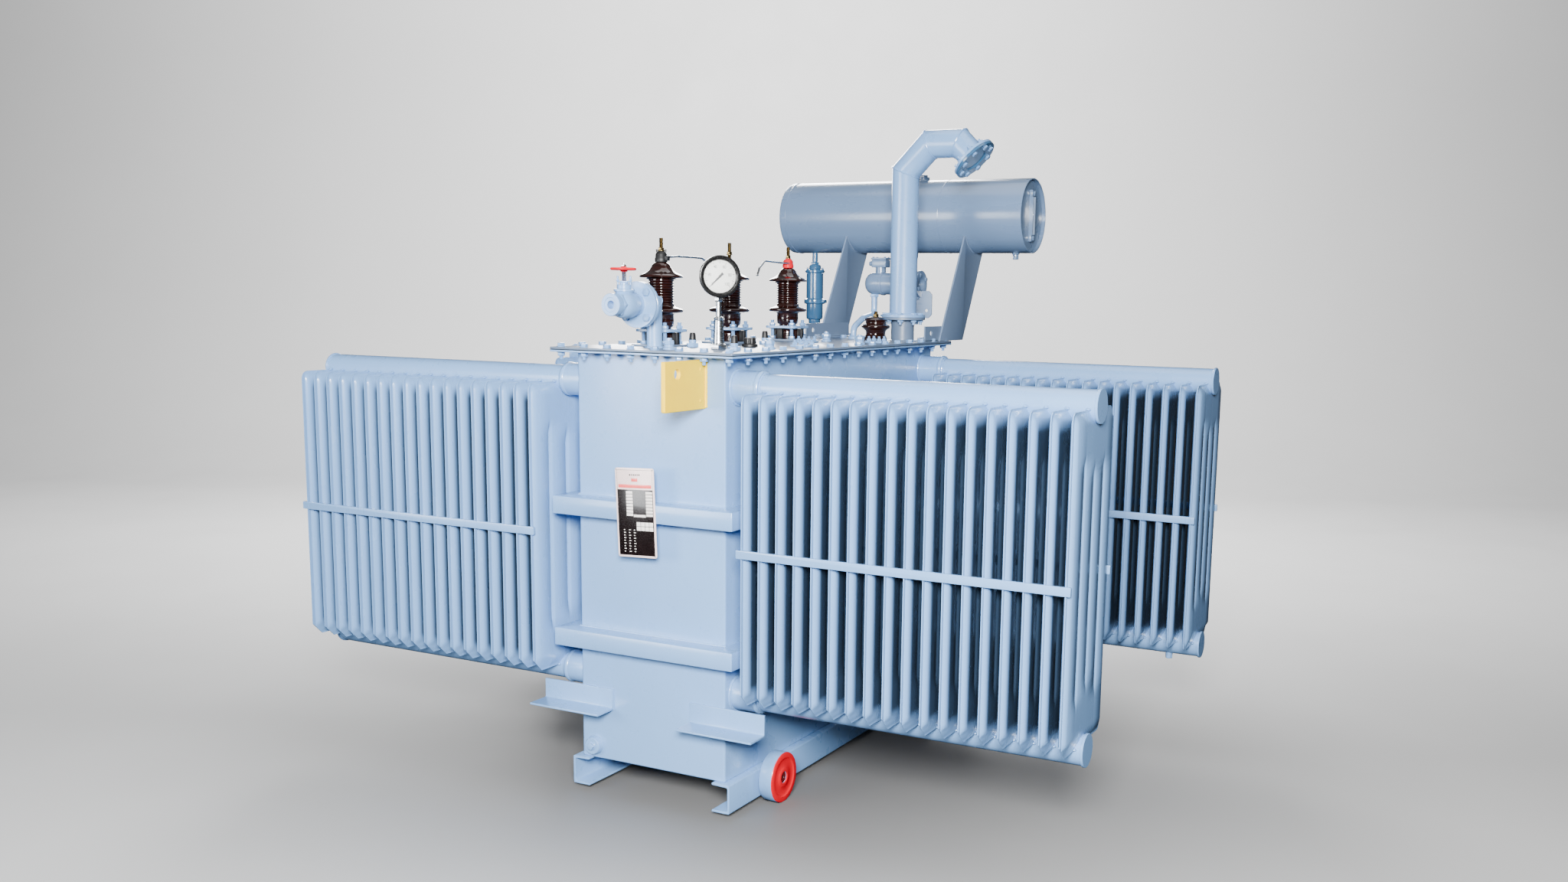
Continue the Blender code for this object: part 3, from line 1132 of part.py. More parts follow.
# ---------------------------------------------------------------- inside the tank
def build_active_part():
    low = LIMB_BOTTOM
    window_low = low + CORE_LIMB
    window_high = window_low + WINDOW_HEIGHT
    high = window_high + CORE_LIMB
    reach = LIMB_PITCH + CORE_LIMB / 2
    shape = bmesh.new()
    add_box(shape, (-CORE_DEPTH / 2, -reach, low), (CORE_DEPTH / 2, reach, high))
    core = place("magnetic_core", shape, "silicon_steel")
    windows = bmesh.new()
    for side in (-1, 1):
        y_low, y_high = sorted((side * CORE_LIMB / 2, side * (LIMB_PITCH - CORE_LIMB / 2)))
        add_box(windows, (-CORE_DEPTH, y_low, window_low), (CORE_DEPTH, y_high, window_high))
    cut(core, windows, "core_windows")

    for number, y in enumerate((-LIMB_PITCH, 0.0, LIMB_PITCH), 1):
        coil = bmesh.new()
        bottom = window_low + GAP
        top = window_high - WINDING_END_GAP
        add_turning(coil, [(WINDING_INNER, bottom), (WINDING_OUTER, bottom), (WINDING_OUTER, top),
                           (WINDING_INNER, top)], ROUND_WHEEL, ring=True)
        place(f"winding_{number}", coil, "copper", (0, y, 0))

    for name, yoke, foot in (("lower_core_clamp", low + CORE_LIMB / 2, True),
                             ("upper_core_clamp", high - CORE_LIMB / 2, False)):
        inner = CORE_DEPTH / 2 + GAP
        outer = inner + CLAMP_BEAM_THICK
        long = reach + CLAMP_GRIP
        ring = bmesh.new()
        add_box(ring, (-outer, -long, yoke - CLAMP_BEAM / 2), (outer, long, yoke + CLAMP_BEAM / 2))
        clamp = place(name, ring, "silicon_steel")
        middle = bmesh.new()
        add_box(middle, (-inner, -reach - GAP, yoke - CLAMP_BEAM), (inner, reach + GAP, yoke + CLAMP_BEAM))
        cut(clamp, middle, "clamp_opening")
        if foot:
            feet = bmesh.new()
            floor = BASE + TANK_FLOOR + GAP
            for side in (-1, 1):
                for end in (-1, 1):
                    x_low, x_high = sorted((side * (inner + 0.001), side * outer))
                    y = end * LIMB_PITCH
                    add_box(feet, (x_low, y - 0.030, floor), (x_high, y + 0.030, yoke))
            join(clamp, feet, "clamp_feet")


def main():
    for old in list(bpy.data.objects):
        bpy.data.objects.remove(old, do_unlink=True)
    build_tank()
    build_base_channels()
    build_rollers()
    build_cover()
    build_radiators()
    build_hv_bushings()
    build_neutral_bushing()
    build_vent_pipe()
    build_valve()
    build_thermometer()
    build_tap_changer()
    build_conservator()
    build_legs()
    build_breather()
    build_gas_relay()
    build_lifting_lugs()
    build_rating_plate()
    build_lv_terminals()
    build_active_part()


main()
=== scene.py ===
"""Oil-filled distribution transformer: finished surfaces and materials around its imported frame.

Metres. X runs across the tank, Y along it with the rating plate at -Y, and Z up from the floor.
"""
import json
import math
from collections import namedtuple

import bpy
import numpy as np
from mathutils import Matrix, Vector


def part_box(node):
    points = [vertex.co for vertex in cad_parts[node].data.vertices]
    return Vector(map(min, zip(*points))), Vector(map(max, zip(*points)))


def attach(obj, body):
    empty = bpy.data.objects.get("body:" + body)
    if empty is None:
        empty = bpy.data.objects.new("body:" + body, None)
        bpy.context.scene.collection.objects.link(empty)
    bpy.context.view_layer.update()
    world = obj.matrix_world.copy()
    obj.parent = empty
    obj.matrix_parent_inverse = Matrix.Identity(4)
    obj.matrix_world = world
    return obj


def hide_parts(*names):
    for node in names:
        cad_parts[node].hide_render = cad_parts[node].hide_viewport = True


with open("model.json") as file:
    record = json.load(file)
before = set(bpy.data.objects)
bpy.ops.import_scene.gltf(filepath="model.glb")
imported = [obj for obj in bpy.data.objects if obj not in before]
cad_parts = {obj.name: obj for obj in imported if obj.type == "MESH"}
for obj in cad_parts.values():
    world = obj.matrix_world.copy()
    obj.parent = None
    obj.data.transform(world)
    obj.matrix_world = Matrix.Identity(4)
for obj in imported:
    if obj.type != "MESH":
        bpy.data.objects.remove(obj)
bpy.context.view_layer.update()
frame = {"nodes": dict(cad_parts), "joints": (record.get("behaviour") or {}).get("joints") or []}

bl_info = {"name": "Distribution Transformer", "version": (1, 0, 0), "blender": (4, 5, 0),
    "location": "3D View > Sidebar > Transformer",
    "description": "Builds the finished tank, radiators, bushings and fittings around the packed frame",
    "category": "Add Mesh",}

ROOT = "transformer_body"
GAP = 0.0003  # left between two touching pieces of the frame
WELD_STEP = 1e-7  # points closer than this are joined
FULL_TURN = 2 * math.pi


# ---------- colours
def linear(hex_colour):
    """sRGB hex to linear red, green and blue."""
    parts = np.array([int(hex_colour[i:i + 2], 16) for i in (1, 3, 5)]) / 255
    return tuple(np.where(parts <= 0.04045, parts / 12.92, ((parts + 0.055) / 1.055) ** 2.4).tolist())


# ---------- places read from the frame
def low(node):
    return np.array(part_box(node)[0])


def high(node):
    return np.array(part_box(node)[1])


def middle(node):
    return (low(node) + high(node)) / 2


WALL_X = low("upper_header_front_right")[0] - GAP
WALL_Y = -high("lifting_lug_front")[1] - GAP
TANK_FOOT = low("tank")[2]
RIM_TOP = high("tank")[2]
COVER_UNDER = low("tank_cover")[2]
COVER_TOP = low("conservator_leg_left")[2] - GAP
COVER_X = high("tank_cover")[0]
COVER_Y = high("tank_cover")[1]
BAND_Y = -high("rating_plate")[1] - GAP
BAND_DEPTH = BAND_Y - WALL_Y
UPPER_BAND = middle("rating_plate")[2]
RIM_THICK = 0.005
BAND_PITCH = 0.368
BANK_LOW, BANK_HIGH = low("radiator_fins_rear_right"), high("radiator_fins_rear_right")
BANK_MIDDLE = (BANK_LOW + BANK_HIGH) / 2
PANEL_EDGE = 0.013
ENDS = (("front", -1), ("rear", 1))
SIDES = (("left", -1), ("right", 1))


# ---------- settings a user may change
def length_setting(name, description, metres):
    return bpy.props.FloatProperty(name=name, description=description, default=metres, unit="LENGTH")


def paint_setting(name, description, hex_colour):
    return bpy.props.FloatVectorProperty(name=name, description=description, subtype="COLOR",
        default=linear(hex_colour))


class TransformerSizes(bpy.types.PropertyGroup):
    """Sizes of the finishing detail."""

    seam_width: length_setting("Panel seam", "Width of the flat welded seam around each cooling panel", 0.009)
    seam_thick: length_setting("Seam thickness", "Thickness of the two sheets at a panel's seam", 0.0026)
    panel_thick: length_setting("Panel thickness", "Thickness of a cooling panel over its flutes", 0.0205)
    bolt_flats: length_setting("Cover bolt", "Width across the flats of a cover bolt", 0.0185)
    bead: length_setting("Weld bead", "Radius of a weld bead under the paint", 0.0026)
    edge: length_setting("Plate edge", "Rounding of the edge of a cut plate", 0.0012)


class TransformerColours(bpy.types.PropertyGroup):
    """Colours of the paints and glazes."""

    enamel: paint_setting("Tank enamel", "Light blue-gray gloss enamel", "#779FD0")
    deep_enamel: paint_setting("Breather enamel", "Deeper blue gloss enamel", "#345C80")
    red: paint_setting("Red enamel", "Signal red gloss enamel", "#CC001E")
    yellow: paint_setting("Yellow enamel", "Warm yellow enamel of the lifting lugs", "#FFD000")
    glaze: paint_setting("Bushing glaze", "Dark brown glaze on porcelain", "#180705")
    floor: paint_setting("Floor", "Pale studio floor", "#B6B6B6")


def sizes():
    return bpy.context.scene.transformer_sizes


def colours():
    return bpy.context.scene.transformer_colours


# ---------- surfaces
Shape = namedtuple("Shape", "points corners counts")


def closed(points, faces):
    """Joins coinciding points, so that seams and poles are shut, and turns the faces outwards.

    The sum over the faces of a . (b x c) is six times the enclosed volume, and is negative inside out.
    """
    points = np.asarray(points, float).reshape(-1, 3)
    keys, index = np.unique(np.round(points / WELD_STEP).astype(np.int64), axis=0, return_inverse=True)
    index = index.ravel()
    kept = np.zeros((len(keys), 3))
    kept[index] = points
    joined = [list(dict.fromkeys(index[face].tolist())) for face in faces]
    joined = [face for face in joined if len(face) > 2]
    triangles = np.array([(face[0], face[k], face[k + 1]) for face in joined
        for k in range(1, len(face) - 1)])
    a, b, c = (kept[triangles[:, k]] for k in range(3))
    if np.einsum("ij,ij->", a, np.cross(b, c)) < 0:
        joined = [face[::-1] for face in joined]
    return Shape(kept, np.concatenate([np.array(face) for face in joined]),
        np.array([len(f) for f in joined]))


def grid(points, wrap_rows=False, wrap_columns=True, caps=True):
    """A sheet of points, rows by columns, as four-sided faces; a tube's two open ends get flat caps."""
    rows, columns = points.shape[:2]
    row, column = np.meshgrid(np.arange(rows - (not wrap_rows)), np.arange(columns - (not wrap_columns)),
        indexing="ij")
    next_row, next_column = (row + 1) % rows, (column + 1) % columns
    faces = np.stack([row * columns + column, row * columns + next_column, next_row * columns + next_column,
        next_row * columns + column], -1).reshape(-1, 4).tolist()
    if caps and wrap_columns and not wrap_rows:
        faces.append(list(range(columns))[::-1])
        faces.append(list(range((rows - 1) * columns, rows * columns)))
    return closed(points, faces)


def merge(shapes):
    """Several shapes as one, side by side in the same arrays."""
    offsets = np.cumsum([0] + [len(shape.points) for shape in shapes[:-1]])
    return Shape(np.concatenate([shape.points for shape in shapes]),
        np.concatenate([shape.corners + offset for shape, offset in zip(shapes, offsets)]),
        np.concatenate([shape.counts for shape in shapes]))


def moved(shape, matrix):
    """A shape carried by a 4 x 4 matrix: p' = R p + t."""
    matrix = np.array(matrix, float)
    return Shape(shape.points @ matrix[:3, :3].T + matrix[:3, 3], shape.corners, shape.counts)


def copies(shape, matrices):
    """One shape at many places: all points times all matrices in one product."""
    matrices = np.array([np.array(matrix, float) for matrix in matrices])
    points = np.einsum("mij,pj->mpi", matrices[:, :3, :3], shape.points) + matrices[:, None, :3, 3]
    steps = np.arange(len(matrices)) * len(shape.points)
    return Shape(points.reshape(-1, 3), (shape.corners[None] + steps[:, None]).ravel(),
        np.tile(shape.counts, len(matrices)))


def at(x, y, z):
    return Matrix.Translation((x, y, z))


def ringed(count, radius, start, place):
    """Places evenly round a circle about a matrix's own Z axis, the first at the angle start."""
    angles = start + np.arange(count) * FULL_TURN / count
    return [place @ at(radius * math.cos(a), radius * math.sin(a), 0) for a in angles]


def facing(direction, place=(0, 0, 0)):
    """A matrix that turns +Z to a direction and then moves to a place."""
    turn = Vector(direction).to_track_quat("Z", "Y").to_matrix().to_4x4()
    return Matrix.Translation(place) @ turn


def eased(outline, radius, steps=3, loop=False):
    """Rounds each corner P of a flat line: (1-t)^2 A + 2t(1-t) P + t^2 B between the trimmed sides' ends."""
    outline = np.asarray(outline, float)
    radii = np.broadcast_to(radius, len(outline))
    share = np.linspace(0, 1, steps + 1)[:, None]
    out = []
    for k, corner in enumerate(outline):
        if (not loop and k in (0, len(outline) - 1)) or radii[k] <= 0:
            out.append(corner[None])
            continue
        before, after = outline[k - 1], outline[(k + 1) % len(outline)]
        back, on = before - corner, after - corner
        long_back, long_on = np.linalg.norm(back), np.linalg.norm(on)
        turn = np.dot(back, on) / (long_back * long_on)
        if turn < -0.9999:
            out.append(corner[None])
            continue
        trim = min(radii[k] / math.tan(math.acos(np.clip(turn, -1, 1)) / 2), 0.48 * long_back, 0.48 * long_on)
        start, stop = corner + back / long_back * trim, corner + on / long_on * trim
        out.append((1 - share) ** 2 * start + 2 * share * (1 - share) * corner + share ** 2 * stop)
    return np.concatenate(out)


def inset(outline, amount):
    """A closed flat outline moved inwards: each corner goes amount (n1 + n2) / (1 + n1 . n2)."""
    side = np.roll(outline, -1, 0) - outline
    x, y = outline[:, 0], outline[:, 1]
    way = np.sign(np.sum(x * np.roll(y, -1) - np.roll(x, -1) * y))
    normal = np.stack([-side[:, 1], side[:, 0]], 1) * way
    normal /= np.linalg.norm(normal, axis=1, keepdims=True)
    before = np.roll(normal, 1, 0)
    return outline + amount * (normal + before) / (1 + np.sum(normal * before, 1, keepdims=True))


def slab(outline, bottom, top, edge=None):
    """A plate: a flat outline carried up Z, with quarter-round edges e(1 - sin a), e(1 - cos a)."""
    outline = np.asarray(outline, float)
    edge = sizes().edge if edge is None else edge
    edge = min(edge, (top - bottom) * 0.45)
    angle = np.linspace(0, math.pi / 2, 3)
    insets = edge * (1 - np.sin(angle))
    lifts = edge * (1 - np.cos(angle))
    rings = [np.c_[inset(outline, inward), np.full(len(outline), bottom + lift)]
        for inward, lift in zip(insets, lifts)]
    rings += [np.c_[inset(outline, inward), np.full(len(outline), top - lift)]
        for inward, lift in zip(insets[::-1], lifts[::-1])]
    return grid(np.array(rings))


def pierced(outline, centre, hole, bottom, top, edge=0.0008, square=False, count=48):
    """A plate around one hole: rays from the hole's centre give the outline's and the hole's points."""
    outline = np.asarray(outline, float) - centre
    corners = np.arctan2(outline[:, 1], outline[:, 0])
    angle = np.unique(np.round(np.r_[np.linspace(-math.pi, math.pi, count, endpoint=False), corners], 6))
    ray = np.stack([np.cos(angle), np.sin(angle)], 1)
    start, stop = outline, np.roll(outline, -1, 0)
    side = stop - start
    cross = ray[:, None, 0] * side[None, :, 1] - ray[:, None, 1] * side[None, :, 0]
    cross = np.where(np.abs(cross) < 1e-12, 1e-12, cross)
    far = (start[None, :, 0] * side[None, :, 1] - start[None, :, 1] * side[None, :, 0]) / cross
    share = (start[None, :, 0] * ray[:, None, 1] - start[None, :, 1] * ray[:, None, 0]) / cross
    far = np.where((far > 0) & (share > -1e-6) & (share < 1 + 1e-6), far, np.inf).min(1)
    near = hole / np.max(np.abs(ray), axis=1) if square else np.full(len(angle), hole)
    rows = []
    for reach, height in ((far - edge, bottom), (far, bottom + edge), (far, top - edge), (far - edge, top),
        (near + edge, top), (near, top - edge), (near, bottom + edge), (near + edge, bottom)):
        rows.append(np.c_[ray * reach[:, None] + centre, np.full(len(angle), height)])
    return grid(np.array(rows), wrap_rows=True)


def mm(*points, out=0, up=0):
    """Points in millimetres as metres, counted from a radius or place and from a height."""
    return np.array(points) * 0.001 + (out, up)


def lathe(profile, count=48, ring=False, matrix=None):
    """A profile of radius and height turned about Z: (r cos a, r sin a, h). Ends are shut unless a ring."""
    profile = np.asarray(profile, float)
    if not ring:
        profile = np.r_[[(0, profile[0, 1])], profile, [(0, profile[-1, 1])]]
    angle = np.arange(count) * FULL_TURN / count
    points = np.stack([profile[:, :1] * np.cos(angle), profile[:, :1] * np.sin(angle),
        np.repeat(profile[:, 1:], count, 1)], -1)
    shape = grid(points, wrap_rows=ring)
    return shape if matrix is None else moved(shape, matrix)


def polygon(sides, radius, start=0.0):
    angle = start + np.arange(sides) * FULL_TURN / sides
    return np.stack([radius * np.cos(angle), radius * np.sin(angle)], 1)


def rectangle(x_low, x_high, y_low, y_high, radius=0.0, steps=4):
    corners = np.array([(x_low, y_low), (x_high, y_low), (x_high, y_high), (x_low, y_high)])
    return eased(corners, radius, steps, loop=True) if radius else corners


def block(bottom_corner, top_corner, edge=None, radius=0.0):
    """A rectangular bar between two corners, with eased edges."""
    a, b = np.minimum(bottom_corner, top_corner), np.maximum(bottom_corner, top_corner)
    return slab(rectangle(a[0], b[0], a[1], b[1], radius or 0.0), a[2], b[2], edge)


def carried(outline, path):
    """A closed flat outline carried along a line in space, mitred where the line turns.

    Each ring's offset slides along the run before it by -(o . n) / (d . n), onto the bisecting plane.
    """
    path = np.asarray(path, float)
    runs = np.diff(path, axis=0)
    runs /= np.linalg.norm(runs, axis=1, keepdims=True)
    side = np.array(Vector(runs[0]).orthogonal().normalized())
    rings = []
    for k, point in enumerate(path):
        before = runs[max(k - 1, 0)]
        after = runs[min(k, len(runs) - 1)]
        side = side - before * np.dot(side, before)
        side /= np.linalg.norm(side)
        offset = outline[:, :1] * side + outline[:, 1:] * np.cross(before, side)
        normal = before + after
        slide = -(offset @ normal) / np.dot(before, normal)
        rings.append(point + offset + slide[:, None] * before)
        turn = Vector(before).rotation_difference(Vector(after)).to_matrix()
        side = np.array(turn @ Vector(side))
    return grid(np.array(rings))


def pipe(path, radius, count=32):
    return carried(polygon(count, radius), path)


def smooth_path(points, radius, steps=8):
    """A line in space with each corner rounded, by the same curve as a flat outline."""
    return eased(points, radius, steps)


def weld_bead(loop, radius=None, ripple=0.014):
    """A weld bead along a closed line: a round section whose radius ripples along the run.

    r(s) = r (1 + 0.12 sin(2 pi s / ripple)), on the line's outward normal and its binormal.
    """
    radius = sizes().bead if radius is None else radius
    loop = np.asarray(loop, float)
    tangent = np.roll(loop, -1, 0) - np.roll(loop, 1, 0)
    tangent /= np.linalg.norm(tangent, axis=1, keepdims=True)
    outward = loop - loop.mean(0)
    outward -= tangent * np.sum(outward * tangent, 1, keepdims=True)
    outward /= np.linalg.norm(outward, axis=1, keepdims=True)
    binormal = np.cross(tangent, outward)
    travel = np.cumsum(np.linalg.norm(np.diff(loop, axis=0, append=loop[:1]), axis=1))
    swell = radius * (1 + 0.12 * np.sin(FULL_TURN * travel / ripple))
    angle = np.arange(8) * FULL_TURN / 8
    points = (loop[:, None] + swell[:, None, None] * (np.cos(angle)[:, None] * outward[:, None]
        + np.sin(angle)[:, None] * binormal[:, None]))
    return grid(points, wrap_rows=True)


def circle(centre, radius, direction=(0, 0, 1), count=64):
    """Points of a circle in space about a direction."""
    matrix = np.array(facing(direction, centre))
    flat = np.c_[polygon(count, radius), np.zeros(count)]
    return flat @ matrix[:3, :3].T + matrix[:3, 3]


def box_loop(half_x, half_y, z, step=0.004):
    """Points of a level rectangle about the tank, a few millimetres apart."""
    corners = rectangle(-half_x, half_x, -half_y, half_y)
    runs = []
    for start, stop in zip(corners, np.roll(corners, -1, 0)):
        count = int(np.linalg.norm(stop - start) / step)
        share = np.arange(count)[:, None] / count
        runs.append(start + (stop - start) * share)
    flat = np.concatenate(runs)
    return np.c_[flat, np.full(len(flat), z)]


# ---------- small hardware
def hexagon(flats, bottom, top):
    """A hexagonal head: the six-sided prism with the crown of a cone that trims its corners."""
    reach = flats / 2 / math.cos(math.pi / 6)
    return slab(polygon(6, reach), bottom, top, edge=(top - bottom) * 0.16)


def washer(radius, bottom, top):
    return lathe([*mm((-0.4, 0), (0, 0.4), out=radius, up=bottom), (radius, top - 0.0004),
        (radius - 0.0004, top)], 24)


def rod(radius, bottom, top, count=16):
    return lathe([(radius, bottom), (radius, top - radius * 0.3), (radius * 0.7, top)], count)


def threaded(radius, bottom, top, pitch=0.0018, count=16):
    """A threaded stud, as a stack of V rings a little coarser than the real thread so that they show."""
    turns = max(int(round((top - bottom) / pitch)), 1)
    z = np.linspace(bottom, top, 2 * turns + 1)
    r = np.where(np.arange(len(z)) % 2 == 0, radius * 0.88, radius)
    return lathe(np.c_[r, z], count)


def cover_bolt(flats, under):
    """A cover bolt about Z = 0 at the cover's top: head and washer above, washer, nut and thread below."""
    reach = flats / 2
    return merge([washer(reach * 1.28, 0, 0.0022), hexagon(flats, 0.0022, 0.0104),
        washer(reach * 1.28, under - 0.0022, under), hexagon(flats, under - 0.0112, under - 0.0022),
        threaded(reach * 0.58, under - 0.02, under - 0.0105)])


def flange_bolt(flats, thick, tail=0.006):
    """A bolt through a flange whose top is at Z = 0: head above, nut and stud end below."""
    reach = flats / 2
    return merge([hexagon(flats, 0, flats * 0.36), hexagon(flats, -thick - flats * 0.42, -thick),
        rod(reach * 0.56, -thick - flats * 0.42 - tail, -thick)])


def make(name, shape, key, body=ROOT, replaces=(), angle=34):
    """Puts a shape into a mesh object with a key's finish, that rides on a body and stands for CAD nodes."""
    mesh = bpy.data.meshes.new(name)
    mesh.vertices.add(len(shape.points))
    mesh.vertices.foreach_set("co", shape.points.astype(np.float32).ravel())
    mesh.loops.add(len(shape.corners))
    mesh.loops.foreach_set("vertex_index", shape.corners.astype(np.int32))
    mesh.polygons.add(len(shape.counts))
    starts = np.r_[0, np.cumsum(shape.counts)[:-1]]
    mesh.polygons.foreach_set("loop_start", starts.astype(np.int32))
    mesh.update(calc_edges=True)
    mesh.validate()
    mesh.polygons.foreach_set("use_smooth", np.ones(len(mesh.polygons), bool))
    mesh.set_sharp_from_angle(angle=math.radians(angle))
    mesh.materials.append(finish_of(key))
    piece = bpy.data.objects.new(name, mesh)
    bpy.context.scene.collection.objects.link(piece)
    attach(piece, body)
    if replaces:
        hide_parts(*([replaces] if isinstance(replaces, str) else replaces))


# ---------- materials
def node(tree, kind, inputs=None, **settings):
    """Adds a shader node: settings are its own options, inputs are values or other nodes' outputs."""
    added = tree.nodes.new("ShaderNode" + kind)
    for key, value in settings.items():
        setattr(added, key, value)
    for key, value in (inputs or {}).items():
        if isinstance(value, bpy.types.NodeSocket):
            tree.links.new(value, added.inputs[key])
        else:
            added.inputs[key].default_value = value
    return added


def blank(name):
    finish = bpy.data.materials.new(name)
    finish.use_nodes = True
    tree = finish.node_tree
    tree.nodes.clear()
    return finish, tree, node(tree, "TexCoord").outputs["Object"]


def noise(tree, place, per_metre, detail=3.0, stretch=(1, 1, 1)):
    """Noise in object space; stretch draws it out along an axis."""
    scaled = node(tree, "Mapping", {"Vector": place, "Scale": stretch})
    return node(tree, "TexNoise", {"Vector": scaled.outputs[0], "Scale": per_metre, "Detail": detail,
        "Roughness": 0.55}).outputs["Fac"]


def spread_of(tree, value, low_value, high_value, start=0.3, stop=0.7):
    return node(tree, "MapRange", {"Value": value, "From Min": start, "From Max": stop, "To Min": low_value,
        "To Max": high_value}).outputs["Result"]


def shade(colour, amount):
    return tuple(min(max(part * amount, 0), 1) for part in colour) + (1,)


def dulled(colour, amount, gray=0.3):
    """A colour darkened, with a share of its own mean level mixed in."""
    level = sum(colour[:3]) / 3
    return tuple(amount * (part * (1 - gray) + level * gray) for part in colour[:3])


def blended(tree, share, first, second):
    mixed = node(tree, "Mix", data_type="RGBA")
    for socket, value in zip((mixed.inputs[0], mixed.inputs[6], mixed.inputs[7]), (share, first, second)):
        if isinstance(value, bpy.types.NodeSocket):
            tree.links.new(value, socket)
        else:
            socket.default_value = value
    return mixed.outputs[2]


def bumped(tree, height, depth, normal=None):
    inputs = {"Height": height, "Distance": depth, "Strength": 1.0}
    if normal is not None:
        inputs["Normal"] = normal
    return node(tree, "Bump", inputs).outputs["Normal"]


def finished(tree, **sockets):
    """Closes a material: the Principled shader with the given sockets, joined to the output."""
    names = {key: key.replace("_", " ").title().replace("Ior", "IOR") for key in sockets}
    shader = node(tree, "BsdfPrincipled", {names[key]: value for key, value in sockets.items()})
    output = tree.nodes.new("ShaderNodeOutputMaterial")
    tree.links.new(shader.outputs["BSDF"], output.inputs["Surface"])


def slot_shade_mask(tree, place):
    """Painted shade mask: 1 deep in the slots between cooling panels, 0 on their outer edges and the end
    panels' outer faces.
    """
    parts = node(tree, "SeparateXYZ", {"Vector": place}).outputs
    half_run = (BANK_HIGH[0] - BANK_LOW[0]) / 2 - PANEL_EDGE
    limits = ((half_run + 0.0004, half_run - 0.0004), (0.133, 0.11), (0.385, 0.345))
    share = None
    for part, centre, (outside, inside) in zip(parts, BANK_MIDDLE, limits):
        away = node(tree, "Math", {0: node(tree, "Math", {0: part}, operation="ABSOLUTE").outputs[0],
            1: float(centre)}, operation="SUBTRACT").outputs[0]
        size = node(tree, "Math", {0: away}, operation="ABSOLUTE").outputs[0]
        here = node(tree, "MapRange", {"Value": size, "From Min": outside, "From Max": inside},
            interpolation_type="SMOOTHSTEP").outputs[0]
        share = here if share is None else node(tree, "Math", {0: share, 1: here},
            operation="MULTIPLY").outputs[0]
    return share


def enamel(name, colour, rough=(0.24, 0.36), coat=0.55, patch=4.0, peel=0.00011, runs=(1, 1, 1), cloud=0.035,
    shade_slots=False):
    """Sprayed gloss enamel on plate.

    Broad clouds a quarter of a metre across lighten and darken the colour by a few parts in a hundred, a
    5 mm orange peel breaks up reflections, and fine specks of dry overspray raise the roughness in patches.
    With the last flag, painted shade darkens the colour almost to black deep between the cooling panels.
    """
    finish, tree, place = blank(name)
    colour = tuple(colour)
    cloud_map = noise(tree, place, patch, 4, runs)
    speck = noise(tree, place, 900, 2)
    base = blended(tree, spread_of(tree, cloud_map, 0, 1), shade(colour, 1 - cloud), shade(colour, 1 + cloud))
    base = blended(tree, spread_of(tree, speck, 0, 0.05, 0.6, 0.7), base, shade(colour, 1.5))
    # painted shade: deep between the cooling panels the colour drops to a tenth, for the shadow in the slots
    if shade_slots:
        base = blended(tree, slot_shade_mask(tree, place), base, shade(colour, 0.1))
    dry = noise(tree, place, 17, 3, runs)
    peel_map = noise(tree, place, 210, 2)
    finished(tree, base_color=base, roughness=spread_of(tree, dry, *rough), coat_weight=coat,
        coat_roughness=0.16, specular_ior_level=0.5 if coat > 0.2 else 0.2, normal=bumped(tree, peel_map,
        peel))
    return finish


def porcelain():
    """Brown glaze over porcelain: almost black where it pools, warm brown on the thin edges of the sheds."""
    finish, tree, place = blank("Brown salt glaze on porcelain")
    glaze = tuple(colours().glaze)
    pool = noise(tree, place, 38, 3, (1, 1, 2.4))
    base = blended(tree, spread_of(tree, pool, 0, 1), shade(glaze, 0.7), shade(glaze, 2.1))
    finished(tree, base_color=base, roughness=spread_of(tree, noise(tree, place, 120, 2), 0.05, 0.11),
        coat_weight=0.6, coat_roughness=0.05, specular_ior_level=0.5,
        normal=bumped(tree, noise(tree, place, 160, 2), 0.00005))
    return finish


def metal(name, hex_colour, rough, brushed=(1, 1, 1), grain=420, depth=0.00003):
    """Bare or plated metal: a fine grain, drawn out along the way it was worked, breaks up the reflection."""
    finish, tree, place = blank(name)
    colour = linear(hex_colour)
    stain = noise(tree, place, 60, 4)
    lines = noise(tree, place, grain, 3, brushed)
    base = blended(tree, spread_of(tree, stain, 0, 1), shade(colour, 0.86), shade(colour, 1.06))
    finished(tree, base_color=base, metallic=1.0, roughness=spread_of(tree, lines, *rough),
        normal=bumped(tree, lines, depth))
    return finish


def plastic(name, hex_colour, rough=(0.3, 0.42), grain=700, depth=0.00002, cloud=0.06, coat=0.0):
    """Moulded, printed or rubbery matter: a close grain and a slight unevenness of colour."""
    finish, tree, place = blank(name)
    colour = linear(hex_colour)
    base = blended(tree, spread_of(tree, noise(tree, place, 55, 4), 0, 1), shade(colour, 1 - cloud),
        shade(colour, 1 + cloud))
    close = noise(tree, place, grain, 2)
    finished(tree, base_color=base, roughness=spread_of(tree, close, *rough), coat_weight=coat,
        coat_roughness=0.08, normal=bumped(tree, close, depth))
    return finish


def glass():
    """Clear gauge glass, with the faintest waviness of drawn glass."""
    finish, tree, place = blank("Clear gauge glass")
    finished(tree, base_color=(0.97, 0.99, 1.0, 1.0), roughness=0.015, ior=1.5, alpha=0.05,
        normal=bumped(tree, noise(tree, place, 25, 1), 0.00002))
    return finish


def laminated(name, hex_colour, per_metre, rough):
    """Rolled sheets or wound wire seen on edge: fine bands along Z, with a little oil stain."""
    finish, tree, place = blank(name)
    colour = linear(hex_colour)
    bands = node(tree, "TexWave", {"Vector": place, "Scale": per_metre, "Distortion": 0.4, "Detail": 1.0},
        bands_direction="Z").outputs["Fac"]
    base = blended(tree, bands, shade(colour, 0.75), shade(colour, 1.1))
    finished(tree, base_color=base, metallic=0.9, roughness=spread_of(tree, noise(tree, place, 90, 3),
        *rough), normal=bumped(tree, bands, 0.0001))
    return finish


MADE = {}


